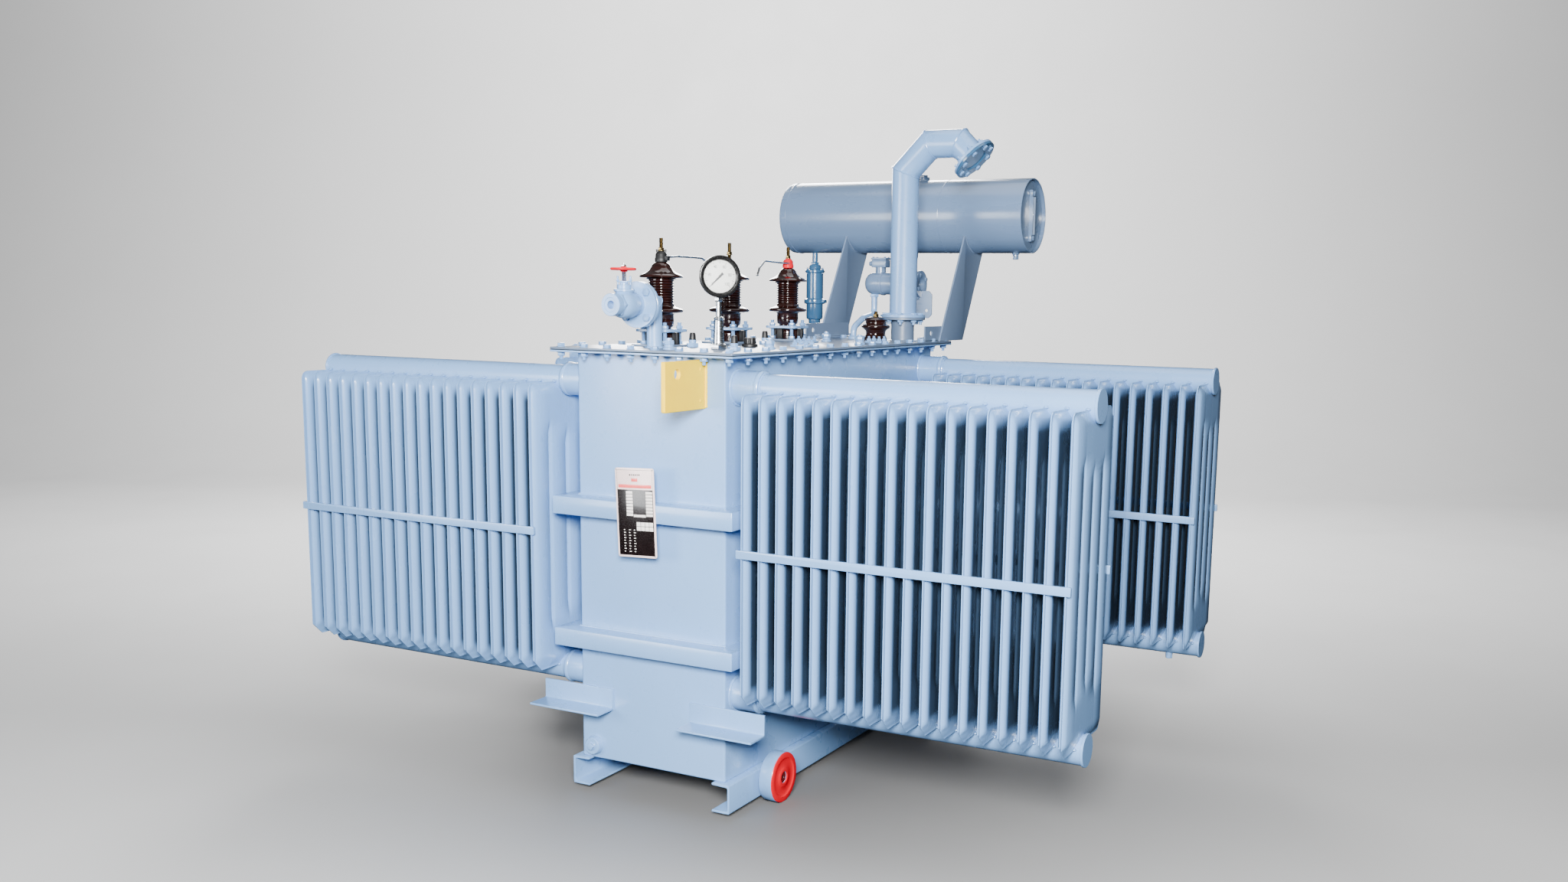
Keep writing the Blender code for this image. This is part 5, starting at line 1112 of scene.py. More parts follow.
class MakeBushings(bpy.types.Operator):
    """Builds the three high voltage bushings with clamps, terminals and arcing horns, and the neutral one."""

    bl_idname = "transformer.bushings"
    bl_label = "Bushings"

    def execute(self, context):
        plate, blocks = clamp_plate()
        caps = {1: "cap", 2: "brass", 3: "red"}
        for k in (1, 2, 3):
            x, y = middle(f"hv_porcelain_{k}")[:2]
            place = at(x, y, COVER_TOP)
            make(f"hv_bushing_{k}", lathe(shed_profile(), 72, matrix=place), "glaze",
                replaces=f"hv_porcelain_{k}", angle=50)
            make(f"hv_clamp_{k}_finished", moved(plate, place), "hardware", replaces=f"hv_clamp_{k}")
            make(f"hv_clamp_{k}_blocks", moved(blocks, place), "cap")
            top = 0.2303
            if k == 2:
                cap = lathe(mm((15, 0), (15, 3), (10.5, 5), (10.5, 12), up=top), 28)
            else:
                cap = lathe(mm((16.8, 0), (17.5, 2), (17.5, 10), (16.2, 12), (15.8, 21), (13.5, 25), (10, 28),
                    (7.5, 30), up=top), 28)
                if k == 1:
                    cap = merge([cap, moved(wing_nut(), at(0, 0, top + 0.021) @ Matrix.Rotation(0.5, 4, "Z")),
                        block((0.004, -0.006, top + 0.004), (0.0245, 0.006, top + 0.017), 0.0015)])
            make(f"hv_cap_{k}", moved(cap, place), caps[k])
            stud = merge([threaded(0.0058, top + 0.01, 0.2958), hexagon(0.015, top + 0.032, top + 0.04),
                washer(0.0095, top + 0.0302, top + 0.032)])
            wires = []
            wire_z = top + 0.0225 - 0.0077
            if k == 1:
                reach = high("hv_terminal_1")[1] - y
                line = smooth_path([(0.012, 0.008, wire_z), (0.012, 0.03, wire_z),
                    (0.004, 0.07, wire_z + 0.003), (0, reach * 0.86, wire_z + 0.002),
                    (0, reach - 0.004, wire_z - 0.01)], 0.012)
                wires.append(pipe(line, 0.0031, 12))
                wires.append(tack((0, reach - 0.005, wire_z - 0.01), 0.0048, 12))
            elif k == 3:
                reach = y - low("hv_terminal_3")[1]
                drop = low("hv_terminal_3")[2] - COVER_TOP + 0.006
                line = smooth_path([(0.01, -0.008, wire_z), (0.006, -0.03, wire_z),
                    (0, -0.145, wire_z + 0.004), (0, -0.178, drop + 0.024), (0, -reach + 0.006, drop)], 0.01)
                wires.append(pipe(line, 0.0031, 12))
                wires.append(tack((0, -reach + 0.007, drop + 0.001), 0.0048, 12))
            make(f"hv_stud_{k}", moved(stud, place), "brass", replaces=f"hv_terminal_{k}")
            if wires:
                make(f"arcing_horn_{k}", moved(merge(wires), place), "silver")
        x, y = middle("neutral_bushing")[:2]
        body = lathe(mm((24, -50), (24, 0.4), (37, 0.4), (37.8, 2), (37.5, 10), (34.5, 15), (32, 21),
            (31.5, 28), (33.5, 34), (37.5, 39), (44, 42.5), (46.5, 45), (47, 48), (46, 51), (42, 53),
            (35.5, 54.5), (33, 57), (32.5, 62), (34.5, 65.5), (37.5, 67.5), (38, 70), (35.5, 73), (28, 76.5),
            (18, 79), (0, 79.5)), 64, matrix=at(x, y, COVER_TOP))
        make("neutral_bushing_finished", body, "glaze", replaces="neutral_bushing", angle=50)
        stud = merge([threaded(0.006, 0.078, 0.0965), hexagon(0.017, 0.0795, 0.0885),
            washer(0.0115, 0.0785, 0.08)])
        make("neutral_stud", moved(stud, at(x, y, COVER_TOP)), "brass")
        return {"FINISHED"}


# ---------- vent pipe
class MakeVentPipe(bpy.types.Operator):
    """Builds the explosion vent: flanged pipe with mitred bends and the burst disc on its mouth."""

    bl_idname = "transformer.vent_pipe"
    bl_label = "Vent pipe"

    def execute(self, context):
        vent_y, vent_x = vent_place()
        foot = low("vent_pipe")[2]
        radius, rise = 0.0445, 0.086
        top = high("vent_pipe")[2] - radius
        path = np.array([(vent_x, vent_y, foot + 0.004), (vent_x, vent_y, top - rise),
            (vent_x + rise, vent_y, top), (vent_x + rise + 0.104, vent_y, top),
            (vent_x + rise + 0.104 + 0.0495, vent_y, top - 0.0495)])
        flange = pierced(polygon(48, 0.074), np.zeros(2), radius - 0.004, 0, 0.008, 0.0008)
        shapes = [pipe(path[:4].tolist() + [(path[4] * 0.9 + path[3] * 0.1).tolist()], radius, 48),
            moved(flange, at(vent_x, vent_y, foot)),
            weld_bead(circle((vent_x, vent_y, foot + 0.0085), radius + 0.001), 0.004)]
        for k in (1, 2, 3):
            before, after = path[k] - path[k - 1], path[k + 1] - path[k]
            before, after = before / np.linalg.norm(before), after / np.linalg.norm(after)
            normal = (before + after) / np.linalg.norm(before + after)
            swing = math.acos(float(np.dot(before, after))) / 2
            loop = circle((0, 0, 0), radius, before, 72)
            loop = loop - np.outer(loop @ normal, before) / np.dot(before, normal) + path[k]
            shapes.append(weld_bead(loop, 0.0022 + 0.001 * swing, 0.011))
        aim = path[4] - path[3]
        aim /= np.linalg.norm(aim)
        seat = facing(aim, path[4] - aim * 0.0085)
        mouth = pierced(polygon(48, 0.075), np.zeros(2), radius - 0.004, 0, 0.008, 0.0008)
        shapes.append(moved(mouth, seat))
        shapes.append(weld_bead(circle(path[4] - aim * 0.0095, radius + 0.001, aim), 0.0035))
        make("vent_pipe_finished", merge(shapes), "tank", replaces="vent_pipe")
        disc = lathe(mm((74.2, 0.5), (75, 1.3), (75, 7.7), (74.2, 8.5), (40, 8.5), (38.5, 7), (37, 4.5)), 56)
        disc = moved(disc, facing(aim, path[4] - aim * 0.0002))
        make("burst_disc_finished", disc, "deep", replaces="burst_disc")
        bolt = merge([hexagon(0.017, 0, 0.0065), hexagon(0.017, -0.0255, -0.0175),
            rod(0.0048, -0.033, -0.017)])
        spots = ringed(8, 0.0585, FULL_TURN / 16, facing(aim, path[4] + aim * 0.0083))
        make("burst_disc_bolts", copies(bolt, spots), "hardware")
        return {"FINISHED"}


# ---------- drain valve
class MakeValve(bpy.types.Operator):
    """Builds the flanged valve on its riser, with its gland, stem and lobed handwheel."""

    bl_idname = "transformer.valve"
    bl_label = "Drain valve"

    def execute(self, context):
        x = middle("valve_body")[0]
        face = high("valve_body")[1]
        mouth = low("valve_body")[1]
        axis_z = low("valve_body")[2] + 0.061
        riser_y = low("valve_riser")[1] + 0.0717
        path = [(x, riser_y, COVER_TOP + 0.0004), (x, riser_y, axis_z), (x, face + 0.0005, axis_z)]
        toward = facing((0, -1, 0), (x, face, axis_z))
        flange = [(0, -0.0093), (0.06, -0.0093), (0.061, -0.0085), (0.061, -0.001), (0.06, -0.0003),
            (0, -0.0003)]
        normal = np.array((0, -1, 1)) / math.sqrt(2)
        loop = circle((0, 0, 0), 0.021, (0, 0, 1), 48)
        loop = loop - np.outer(loop @ normal, (0, 0, 1)) / normal[2] + (x, riser_y, axis_z)
        riser = merge([pipe(path, 0.021, 36), lathe(flange, 56, matrix=toward),
            weld_bead(loop, 0.0018, 0.009), weld_bead(circle((x, riser_y, COVER_TOP + 0.001), 0.022), 0.0035),
            weld_bead(circle((x, face + 0.0095, axis_z), 0.022, (0, 1, 0)), 0.003)])
        make("valve_riser_finished", riser, "tank", replaces="valve_riser")
        length = face - mouth
        stem_at = 0.063
        body = lathe([*mm((10.6, 0.3), (60, 0.3), (61, 1.2), (61, 8.2), (60, 9.2), (34.5, 10), (29, 13),
            (27.5, 19), (28.5, 26), (32, 34), (34.5, 45), (35.5, 56), (35.5, 68), (34, 78), (30, 86),
            (25.5, 90), (23.5, 93.5), (23.5, 99), (27.5, 101), (29, 103)), *mm((29, -1.2), (28, 0), (19, 0),
            (18, -1.2), (10.6, -1.6), up=length)], 56, ring=True, matrix=toward)
        hexes = moved(hexagon(0.052, 0.0855, 0.0985), toward)
        up = at(x, face - stem_at, axis_z)
        bonnet = moved(
            merge([lathe(mm((23.5, 10), (22.5, 30), (24.5, 33.5), (27, 34.5), (27, 39.5), (24.5, 40.5),
            (19, 41), (19, 50), (17.5, 51.5)), 40), hexagon(0.0285, 0.0425, 0.049),
            lathe(mm((11, 51.5), (11, 57), (9.8, 59)), 28)]), up)
        posts = ringed(2, 0.0165, 0.5, up)
        post = merge([rod(0.0025, 0.05, 0.074, 12), hexagon(0.008, 0.0605, 0.0655)])
        bridge = moved(slab(eased(mm((-21.5, 0), (-8, -9), (8, -9), (21.5, 0), (8, 9), (-8, 9)), 0.004, 4,
            loop=True), 0.0575, 0.0612, 0.0008), up @ Matrix.Rotation(0.5, 4, "Z"))
        make("valve_body_finished", merge([body, hexes, bonnet, copies(post, posts), bridge]), "cast",
            replaces="valve_body")
        bolts = ringed(4, 0.047, math.pi / 4, toward @ at(0, 0, 0.0093))
        make("valve_flange_bolts", copies(flange_bolt(0.019, 0.0188, 0.005), bolts), "hardware")
        wheel_z = high("valve_handwheel")[2] - COVER_TOP - (axis_z - COVER_TOP) - 0.014
        turn = np.arange(120) * FULL_TURN / 120
        lobes = 0.0292 + 0.0022 * np.cos(5 * turn)
        tube = np.arange(14) * FULL_TURN / 14
        ring = np.stack([(lobes[:, None] + 0.0042 * np.cos(tube)) * np.cos(turn)[:, None],
            (lobes[:, None] + 0.0042 * np.cos(tube)) * np.sin(turn)[:, None],
            wheel_z + 0.0038 * np.sin(tube)[None] + 0 * turn[:, None]], -1)
        spoke = moved(slab(eased(mm((6, -3.6), (30, -2.6), (30, 2.6), (6, 3.6)), 0.001, 2, loop=True),
            -0.0018, 0.0018, 0.0008), at(0, 0, wheel_z))
        spokes = copies(spoke, [Matrix.Rotation(a, 4, "Z") for a in np.arange(5) * FULL_TURN / 5])
        hub = lathe(mm((8.5, -7.5), (9.5, -6), (9.5, 4), (8, 5.5), up=wheel_z), 28)
        make("handwheel_rim", moved(merge([grid(ring, wrap_rows=True), spokes, hub]), up), "red",
            "drain_valve_wheel")
        bottom = low("valve_handwheel")[2] - axis_z
        stem = merge([rod(0.003, bottom, 0.045), threaded(0.0058, 0.0445, wheel_z - 0.007, 0.0026),
            hexagon(0.011, wheel_z + 0.0055, wheel_z + 0.011), rod(0.0035, wheel_z + 0.01, wheel_z + 0.0138)])
        make("valve_stem", moved(stem, up), "silver", "drain_valve_wheel", "valve_handwheel")
        return {"FINISHED"}


# ---------- thermometer
STROKES = {"0": [(0, 0, 1, 0), (1, 0, 1, 2), (1, 2, 0, 2), (0, 2, 0, 0)],
    "1": [(0.5, 0, 0.5, 2), (0.5, 2, 0.15, 1.6)], "2": [(0, 2, 1, 2), (1, 2, 1, 1), (1, 1, 0, 1),
    (0, 1, 0, 0), (0, 0, 1, 0)], "4": [(1, 0, 1, 2), (0, 2, 0, 1), (0, 1, 1, 1)],
    "6": [(1, 2, 0, 2), (0, 2, 0, 0), (0, 0, 1, 0), (1, 0, 1, 1), (1, 1, 0, 1)],
    "8": [(0, 0, 1, 0), (1, 0, 1, 2), (1, 2, 0, 2), (0, 2, 0, 0), (0, 1, 1, 1)]}


def stroke(x0, y0, x1, y1, width, height):
    """One inked line on a dial: a thin bar between two points of the dial's plane."""
    along = np.array((x1 - x0, y1 - y0))
    run = np.linalg.norm(along)
    along = along / run
    across = np.array((-along[1], along[0])) * width / 2
    start, stop = np.array((x0, y0)) - along * width / 2, np.array((x1, y1)) + along * width / 2
    return slab(np.array([start - across, stop - across, stop + across, start + across]), 0, height, 0.00002)


def dial_marks(radius):
    """Ticks every ten degrees of temperature over 270 degrees of arc, and plain numbers every twenty."""
    shapes = []
    for k in range(51):
        angle = math.radians(225 - 270 * k / 50)
        inner = radius * (0.83 if k % 5 == 0 else 0.89)
        wide = 0.0012 if k % 5 == 0 else 0.0006
        c, s = math.cos(angle), math.sin(angle)
        shapes.append(stroke(inner * c, inner * s, radius * 0.95 * c, radius * 0.95 * s, wide, 0.0001))
    for k, text in enumerate(("0", "20", "40", "60", "80", "100")):
        angle = math.radians(225 - 270 * k / 5)
        size = 0.0031
        width = len(text) * size * 1.5 - size * 0.5
        x = radius * 0.66 * math.cos(angle) - width / 2
        y = radius * 0.66 * math.sin(angle) - size
        for digit in text:
            for x0, y0, x1, y1 in STROKES[digit]:
                shapes.append(stroke(x + x0 * size, y + y0 * size, x + x1 * size, y + y1 * size, 0.0009,
                    0.0001))
            x += size * 1.5
    return merge(shapes)


class MakeThermometer(bpy.types.Operator):
    """Builds the dial thermometer: lacquered case, printed dial, needle, glass and its pocket stem."""

    bl_idname = "transformer.thermometer"
    bl_label = "Thermometer"

    def execute(self, context):
        turn = math.radians(46)
        joint = next(j for j in frame["joints"] if j["child"] == "temperature_needle")
        centre = np.array(joint["pos_m"], float)
        out = np.array((math.sin(turn), -math.cos(turn), 0))
        side = np.array((math.cos(turn), math.sin(turn), 0))
        face = axes(side, (0, 0, 1), out, centre)
        front, back = 0.016, -0.024
        case = lathe([*mm((40, 0), (44.5, 1.5), (46.5, 5), up=back), *mm((47.5, -16), (51, -12.5),
            (54.2, -10.5), (55, -8.5), (55, -2), (53.8, -0.4), (52, 0), (45.2, -1), (43.2, -3.4), (43, -10),
            up=front)], 72, matrix=face)
        screws = [face @ at(0.0475 * math.cos(a), 0.0475 * math.sin(a), back + 0.004)
            for a in (0.6, 2.5, 4.0)]
        ears = copies(lathe(mm((3.2, -3), (3.4, 6)), 14), screws)
        make("thermometer_case_finished", merge([case, ears]), "black", replaces="thermometer_case")
        dial = lathe(mm((42.4, -9.8), (42.7, -9.5), (42.7, -8.2), (42, -7.8), up=front), 64, matrix=face)
        make("thermometer_dial_finished", dial, "dial", replaces="thermometer_dial")
        make("thermometer_marks", moved(dial_marks(0.042), face @ at(0, 0, front - 0.00775)), "ink")
        lens = lathe(mm((42.6, -4), (42.6, -2), (30, -1.4), (0, -1.2), up=front), 64, matrix=face)
        make("thermometer_glass_finished", lens, "glass", replaces="thermometer_glass")
        pointing = math.radians(225)
        outline = np.array(mm((-12, -3.8), (-4, -2.6), (10, -2.3), (34, -0.7), (34, 0.7), (10, 2.3),
            (-4, 2.6), (-12, 3.8)))
        needle = moved(slab(outline, -0.0004, 0.0004, 0.0001), face @ at(0, 0, front - 0.0063)
            @ Matrix.Rotation(pointing, 4, "Z"))
        nut = lathe(mm((3.2, -6.8), (3.2, -5.2), (2, -4.6), up=front), 24, matrix=face)
        make("thermometer_needle_finished", merge([needle, nut]), "ink", "temperature_needle",
            "thermometer_needle")
        foot = at(*(centre - out * 0.004)[:2], COVER_TOP)
        under = centre[2] - COVER_TOP - 0.05
        stem = merge([hexagon(0.04, 0.0004, 0.015),
            lathe([*mm((16.5, 15), (16.5, 17), (15, 18), (11.8, 76), (11.8, 80), (12.8, 81.5), (12.8, 85),
            (10, 86.5), (7.5, 88)), (0.0068, under)], 36), hexagon(0.02, under - 0.016, under - 0.004),
            lathe(mm((6.2, -119), (6.8, -112), (6.8, 1)), 24)])
        make("thermometer_stem", moved(stem, foot), "silver")
        return {"FINISHED"}


class MakeTapChanger(bpy.types.Operator):
    """Builds the off-circuit tap switch: skirted knob with a pointer, and the drum under the cover."""

    bl_idname = "transformer.tap_changer"
    bl_label = "Tap changer"

    def execute(self, context):
        x, y = middle("tap_changer")[:2]
        turn = np.arange(96) * FULL_TURN / 96
        grip = 0.0158 + 0.0007 * np.cos(12 * turn)
        heights = [(1.0, 0.0095), (1.02, 0.011), (1.0, 0.0235), (0.93, 0.0258), (0.8, 0.0264)]
        rows = [np.c_[scale * grip * np.cos(turn), scale * grip * np.sin(turn), np.full(96, z)]
            for scale, z in heights]
        skirt = lathe(mm((22.2, 1), (22.8, 2), (22.2, 8), (18.5, 10)), 48)
        pointer = slab(eased(mm((6, -1.8), (21.8, -0.8), (21.8, 0.8), (6, 1.8)), 0.0006, 2, loop=True),
            0.0262, 0.0278, 0.0004)
        bottom = low("tap_changer")[2] - COVER_TOP
        drum = lathe([*mm((29.2, 0), (30, 1), (30, 69), (6, 70), up=bottom), (0.006, 0.002)], 48)
        make("tap_changer_finished", moved(merge([grid(np.array(rows)), skirt, pointer, drum]),
            at(x, y, COVER_TOP)), "cap", "tap_selector", "tap_changer")
        return {"FINISHED"}


# ---------- conservator
class MakeConservator(bpy.types.Operator):
    """Builds the conservator drum with its caps, oil gauge and the two slanting legs."""

    bl_idname = "transformer.conservator"
    bl_label = "Conservator"

    def execute(self, context):
        left, right = low("conservator_shell")[0], high("conservator_shell")[0]
        y = middle("conservator_shell")[1]
        radius = (high("conservator_shell")[1] - low("conservator_shell")[1]) / 2
        z = low("conservator_shell")[2] + 0.022 + radius
        along = facing((1, 0, 0), (0, y, z))
        shell = lathe([*mm((-6, 0), (-2.5, 1.2), (-0.4, 4), (0, 7), out=radius, up=left),
            *mm((0, -1), (-1, 0), (-3.5, 0), (-4.5, -1), (-4.5, -17.5), out=radius, up=right)], 96,
            matrix=along)
        seams = [weld_bead(circle((left + 0.0015, y, z), radius - 0.004, (1, 0, 0), 160), 0.003),
            weld_bead(circle((left + 0.024, y, z), radius - 0.0004, (1, 0, 0), 160), 0.0022),
            weld_bead(circle((right - 0.0178, y, z), radius - 0.0055, (1, 0, 0), 160), 0.003)]
        middle_seam = weld_bead(circle(((left + right) / 2 + 0.16, y, z), radius - 0.0006, (1, 0, 0), 160),
            0.0014)
        filler_x, drain_x = 0.066, 0.422
        cap = moved(merge([lathe(mm((25.5, -6), (25.5, 0), (22.5, 3), (22.5, 11)), 36),
            hexagon(0.03, 0.011, 0.019)]), at(filler_x, y, z + radius))
        drain = moved(merge([lathe(mm((13.5, -4), (12.5, 3), (10, 5), (10, 12)), 28),
            hexagon(0.0185, 0.012, 0.0215)]), facing((0, 0, -1), (drain_x, y, z - radius)))
        make("conservator_drum", merge([shell, *seams, middle_seam, cap, drain]), "drum",
            replaces="conservator_shell")
        face = right - 0.012
        disc = lathe(mm((-5, -5.5), (-5, -2), (-7, 0), out=radius, up=face), 96, matrix=along)
        blocks = []
        for lift in (-0.075, 0.075):
            blocks.append(block((face - 0.001, y - 0.013, z + lift - 0.012),
                (face + 0.0105, y + 0.013, z + lift + 0.012), 0.0015, 0.003))
            blocks.append(moved(hexagon(0.015, 0.0105, 0.0175), facing((1, 0, 0), (face, y, z + lift))))
        guard = []
        for offset in (-0.0115, 0.0115):
            guard.append(block((face + 0.001, y + offset - 0.0013, z - 0.064),
                (face + 0.014, y + offset + 0.0013, z + 0.064), 0.0005))
        guard.append(block((face, y - 0.0125, z - 0.064), (face + 0.0015, y + 0.0125, z + 0.064), 0.0004))
        make("conservator_end", merge([disc, *blocks, *guard]), "drum", replaces="conservator_end_disc")
        tube_x = middle("oil_sight_glass")[0]
        tube = lathe(mm((7.8, -61.7), (8, -61), (8, 61), (7.8, 61.7)), 32, matrix=at(tube_x, y, z))
        make("oil_gauge_tube", tube, "glass", replaces="oil_sight_glass")

        for name, inward in (("left", 1), ("right", -1)):
            leg = f"conservator_leg_{name}"
            leg_x = low(leg)[0] + 0.003 if inward > 0 else high(leg)[0] - 0.003
            foot_z = low(leg)[2]
            foot_front, foot_rear = -WALL_Y + 1.278, -WALL_Y + 1.478
            top_front, top_rear = -WALL_Y + 1.474, -WALL_Y + 1.65
            run = np.linspace(top_front, top_rear, 15)
            drop = np.sqrt(np.maximum(radius ** 2 - (run - y) ** 2, 0)) + 0.0006
            saddle = np.c_[run, z - drop]
            outline = np.r_[[(foot_front, foot_z), (foot_rear, foot_z)], saddle[::-1]]
            shapes = [plate_yz(outline, leg_x - 0.003, leg_x + 0.003, 0.0008)]
            front, rear = -WALL_Y + 1.17, -WALL_Y + 1.49
            flat_low, flat_high = sorted((leg_x + inward * 0.003, leg_x + inward * 0.055))
            shapes.append(slab(rectangle(flat_low, flat_high, front, rear, 0.002), foot_z, foot_z + 0.005,
                0.0008))
            upright = eased([(front, foot_z + 0.002), *mm((0, 2), (0, 50), out=rear, up=foot_z),
                (front, foot_z + 0.05)], 0.002, 2, loop=True)
            near, far = sorted((leg_x + inward * 0.003, leg_x + inward * 0.008))
            hole = pierced(upright, np.array((front + 0.05, foot_z + 0.027)), 0.0085, near, far, 0.0006)
            shapes.append(moved(hole, ALONG_X))
            bolt = merge([hexagon(0.017, 0, 0.0065), washer(0.0115, -0.0012, 0.0002)])
            shapes.append(copies(bolt, [at(leg_x + inward * 0.034, front + back, foot_z + 0.0062)
                for back in (0.03, 0.285)]))
            for side_x in (leg_x - 0.003, leg_x + 0.003):
                shapes.append(carried(polygon(8, 0.0028), np.c_[np.full(15, side_x), saddle]))
            make(f"{leg}_finished", merge(shapes), "leg", replaces=leg)
        return {"FINISHED"}


# ---------- gas relay and feed pipe
class MakeRelay(bpy.types.Operator):
    """Builds the gas relay with its terminal box, the pipes either side of it and the hanger plate."""

    bl_idname = "transformer.relay"
    bl_label = "Gas relay"

    def execute(self, context):
        y = -WALL_Y + 1.42
        z = COVER_TOP + 0.189
        left = low("gas_relay")[0]
        right = left + 0.212
        along = facing((1, 0, 0), (0, y, z))
        body = lathe([*mm((0, 0), (12, 1), (24, 5), (32, 12), (36, 21), (38, 32), (38, 60), (40.5, 62),
            (40.5, 70), (38, 72), up=left), *mm((38, -30), (40, -18), (45.5, -10), (46, -8), (46, -1),
            (45, 0), (22, 0), (20.5, -1), (20.5, -13), up=right)], 64, matrix=along)
        face_bolts = ringed(4, 0.0345, 0.5, along @ at(0, 0, right))
        shapes = [body, copies(hexagon(0.0125, 0, 0.0055), face_bolts)]
        box_x = -0.017
        base = z + 0.038 - 0.004
        shapes.append(lathe(mm((19, 0), (18, 10), (18, 22)), 28, matrix=at(box_x, y, base)))
        lid = base + 0.022
        shapes.append(block((box_x - 0.027, y - 0.02, lid), (box_x + 0.027, y + 0.02, lid + 0.026), 0.0015,
            0.003))
        shapes.append(block((box_x - 0.029, y - 0.022, lid + 0.0265), (box_x + 0.029, y + 0.022, lid + 0.033),
            0.0015, 0.003))
        shapes.append(copies(hexagon(0.007, 0, 0.0035), [at(box_x + a, y + b, lid + 0.033)
            for a in (-0.022, 0.022) for b in (-0.015, 0.015)]))
        gland = moved(merge([hexagon(0.019, 0, 0.008), lathe(mm((8.5, 8), (7.5, 16)), 20)]),
            facing((-1, 0, 0), (box_x - 0.027, y, lid + 0.013)))
        shapes.append(gland)
        shapes.append(lathe(mm((9.5, 0), (9.5, 8), (6, 9), (6, 18)), 20,
            matrix=at(box_x + 0.06, y, z + 0.035)))
        riser = smooth_path([(0.06, y, z + 0.03), (0.06, y, z + 0.07), (0.06, y + 0.06, z + 0.088),
            (0.06, y + 0.119, z + 0.088), (0.06, y + 0.119, z + 0.128)], 0.016, 6)
        shapes.append(pipe(riser, 0.0105, 24))
        shapes.append(lathe(mm((19, 0), (19, 6)), 28, matrix=at(0.06, y, z + 0.04)))
        plate_x = (high("gas_relay")[0] - 0.074, high("gas_relay")[0])
        foot = low("gas_relay")[2]
        hanger = eased([*mm((0, 12), (12, 0), out=plate_x[0], up=foot), *mm((-12, 0), (0, 12), (0, 81),
            (-12, 93), out=plate_x[1], up=foot), *mm((6, 93), (0, 87), out=plate_x[0], up=foot)], 0.003, 3,
            loop=True)
        hole = pierced(hanger, np.array((plate_x[1] - 0.02, foot + 0.026)), 0.0055, -y - 0.0025, -y + 0.0025,
            0.0006)
        shapes.append(moved(hole, ALONG_Y))
        shapes.append(moved(hexagon(0.014, 0, 0.006),
            facing((0, -1, 0), (plate_x[0] + 0.02, y - 0.0025, foot + 0.07))))
        make("gas_relay_finished", merge(shapes), "drum", replaces="gas_relay")
        feed_x = middle("oil_feed_pipe")[0]
        cover_y = low("oil_feed_pipe")[1] + 0.0185
        lift = COVER_TOP + 0.091
        line = smooth_path([(feed_x, cover_y, COVER_TOP + 0.002), (feed_x, cover_y, COVER_TOP + 0.038),
            (feed_x, cover_y + 0.07, lift - 0.022), (feed_x, y, lift - 0.01), (feed_x, y, z - 0.036)], 0.03,
            10)
        feed = merge([pipe(line, 0.0105, 28), lathe(mm((18.5, 0.4), (18.5, 6), (15.5, 8)), 32,
            matrix=at(feed_x, cover_y, COVER_TOP)),
            weld_bead(circle((feed_x, cover_y, COVER_TOP + 0.009), 0.0115), 0.0024, 0.009),
            moved(hexagon(0.028, 0, 0.011), at(feed_x, y, z - 0.047))])
        make("oil_feed_pipe_finished", feed, "tank", replaces="oil_feed_pipe")
        return {"FINISHED"}


# ---------- breather
class MakeBreather(bpy.types.Operator):
    """Builds the silica gel breather hanging from the conservator."""

    bl_idname = "transformer.breather"
    bl_label = "Breather"

    def execute(self, context):
        x, y = middle("silica_breather")[:2]
        bottom, tip = low("silica_breather")[2], high("silica_breather")[2]
        top, ring = bottom + 0.217, bottom + 0.085
        body = lathe([*mm((0, 0), (16, 0.5), (21, 3), (22, 8), (22, 16), (28.5, 19), (30.5, 23), up=bottom),
            *mm((30.5, -12), (34, -11), (38.5, -9), (39, -6), (39, 4), (38.5, 6), (33.5, 7), (31, 9),
            up=ring), *mm((31, -30), (34.5, -28.5), (36.2, -26.5), (36.2, -20.5), (34.5, -18.5), (25, -17),
            (22.5, -14), (21.5, -4), (19.5, -0.5), (0, 0), up=top)], 56, matrix=at(x, y, 0))
        pipe_top = pipe([(x, y, top - 0.004), (x, y, tip)], 0.01, 24)
        collar = moved(hexagon(0.027, 0, 0.012), at(x, y, top - 0.001))
        lugs = copies(merge([hexagon(0.0095, 0, 0.005), rod(0.0026, -0.014, 0.009)]),
            ringed(6, 0.0322, 0, at(x, y, top - 0.019)))
        clamp = [block((x + 0.036, y - 0.008, ring - 0.007), (x + 0.047, y + 0.008, ring + 0.005), 0.001),
            moved(hexagon(0.011, 0, 0.006), facing((0, -1, 0), (x + 0.0415, y - 0.008, ring - 0.001)))]
        make("silica_breather_finished", merge([body, pipe_top, collar, lugs, *clamp]), "deep",
            replaces="silica_breather")
        return {"FINISHED"}


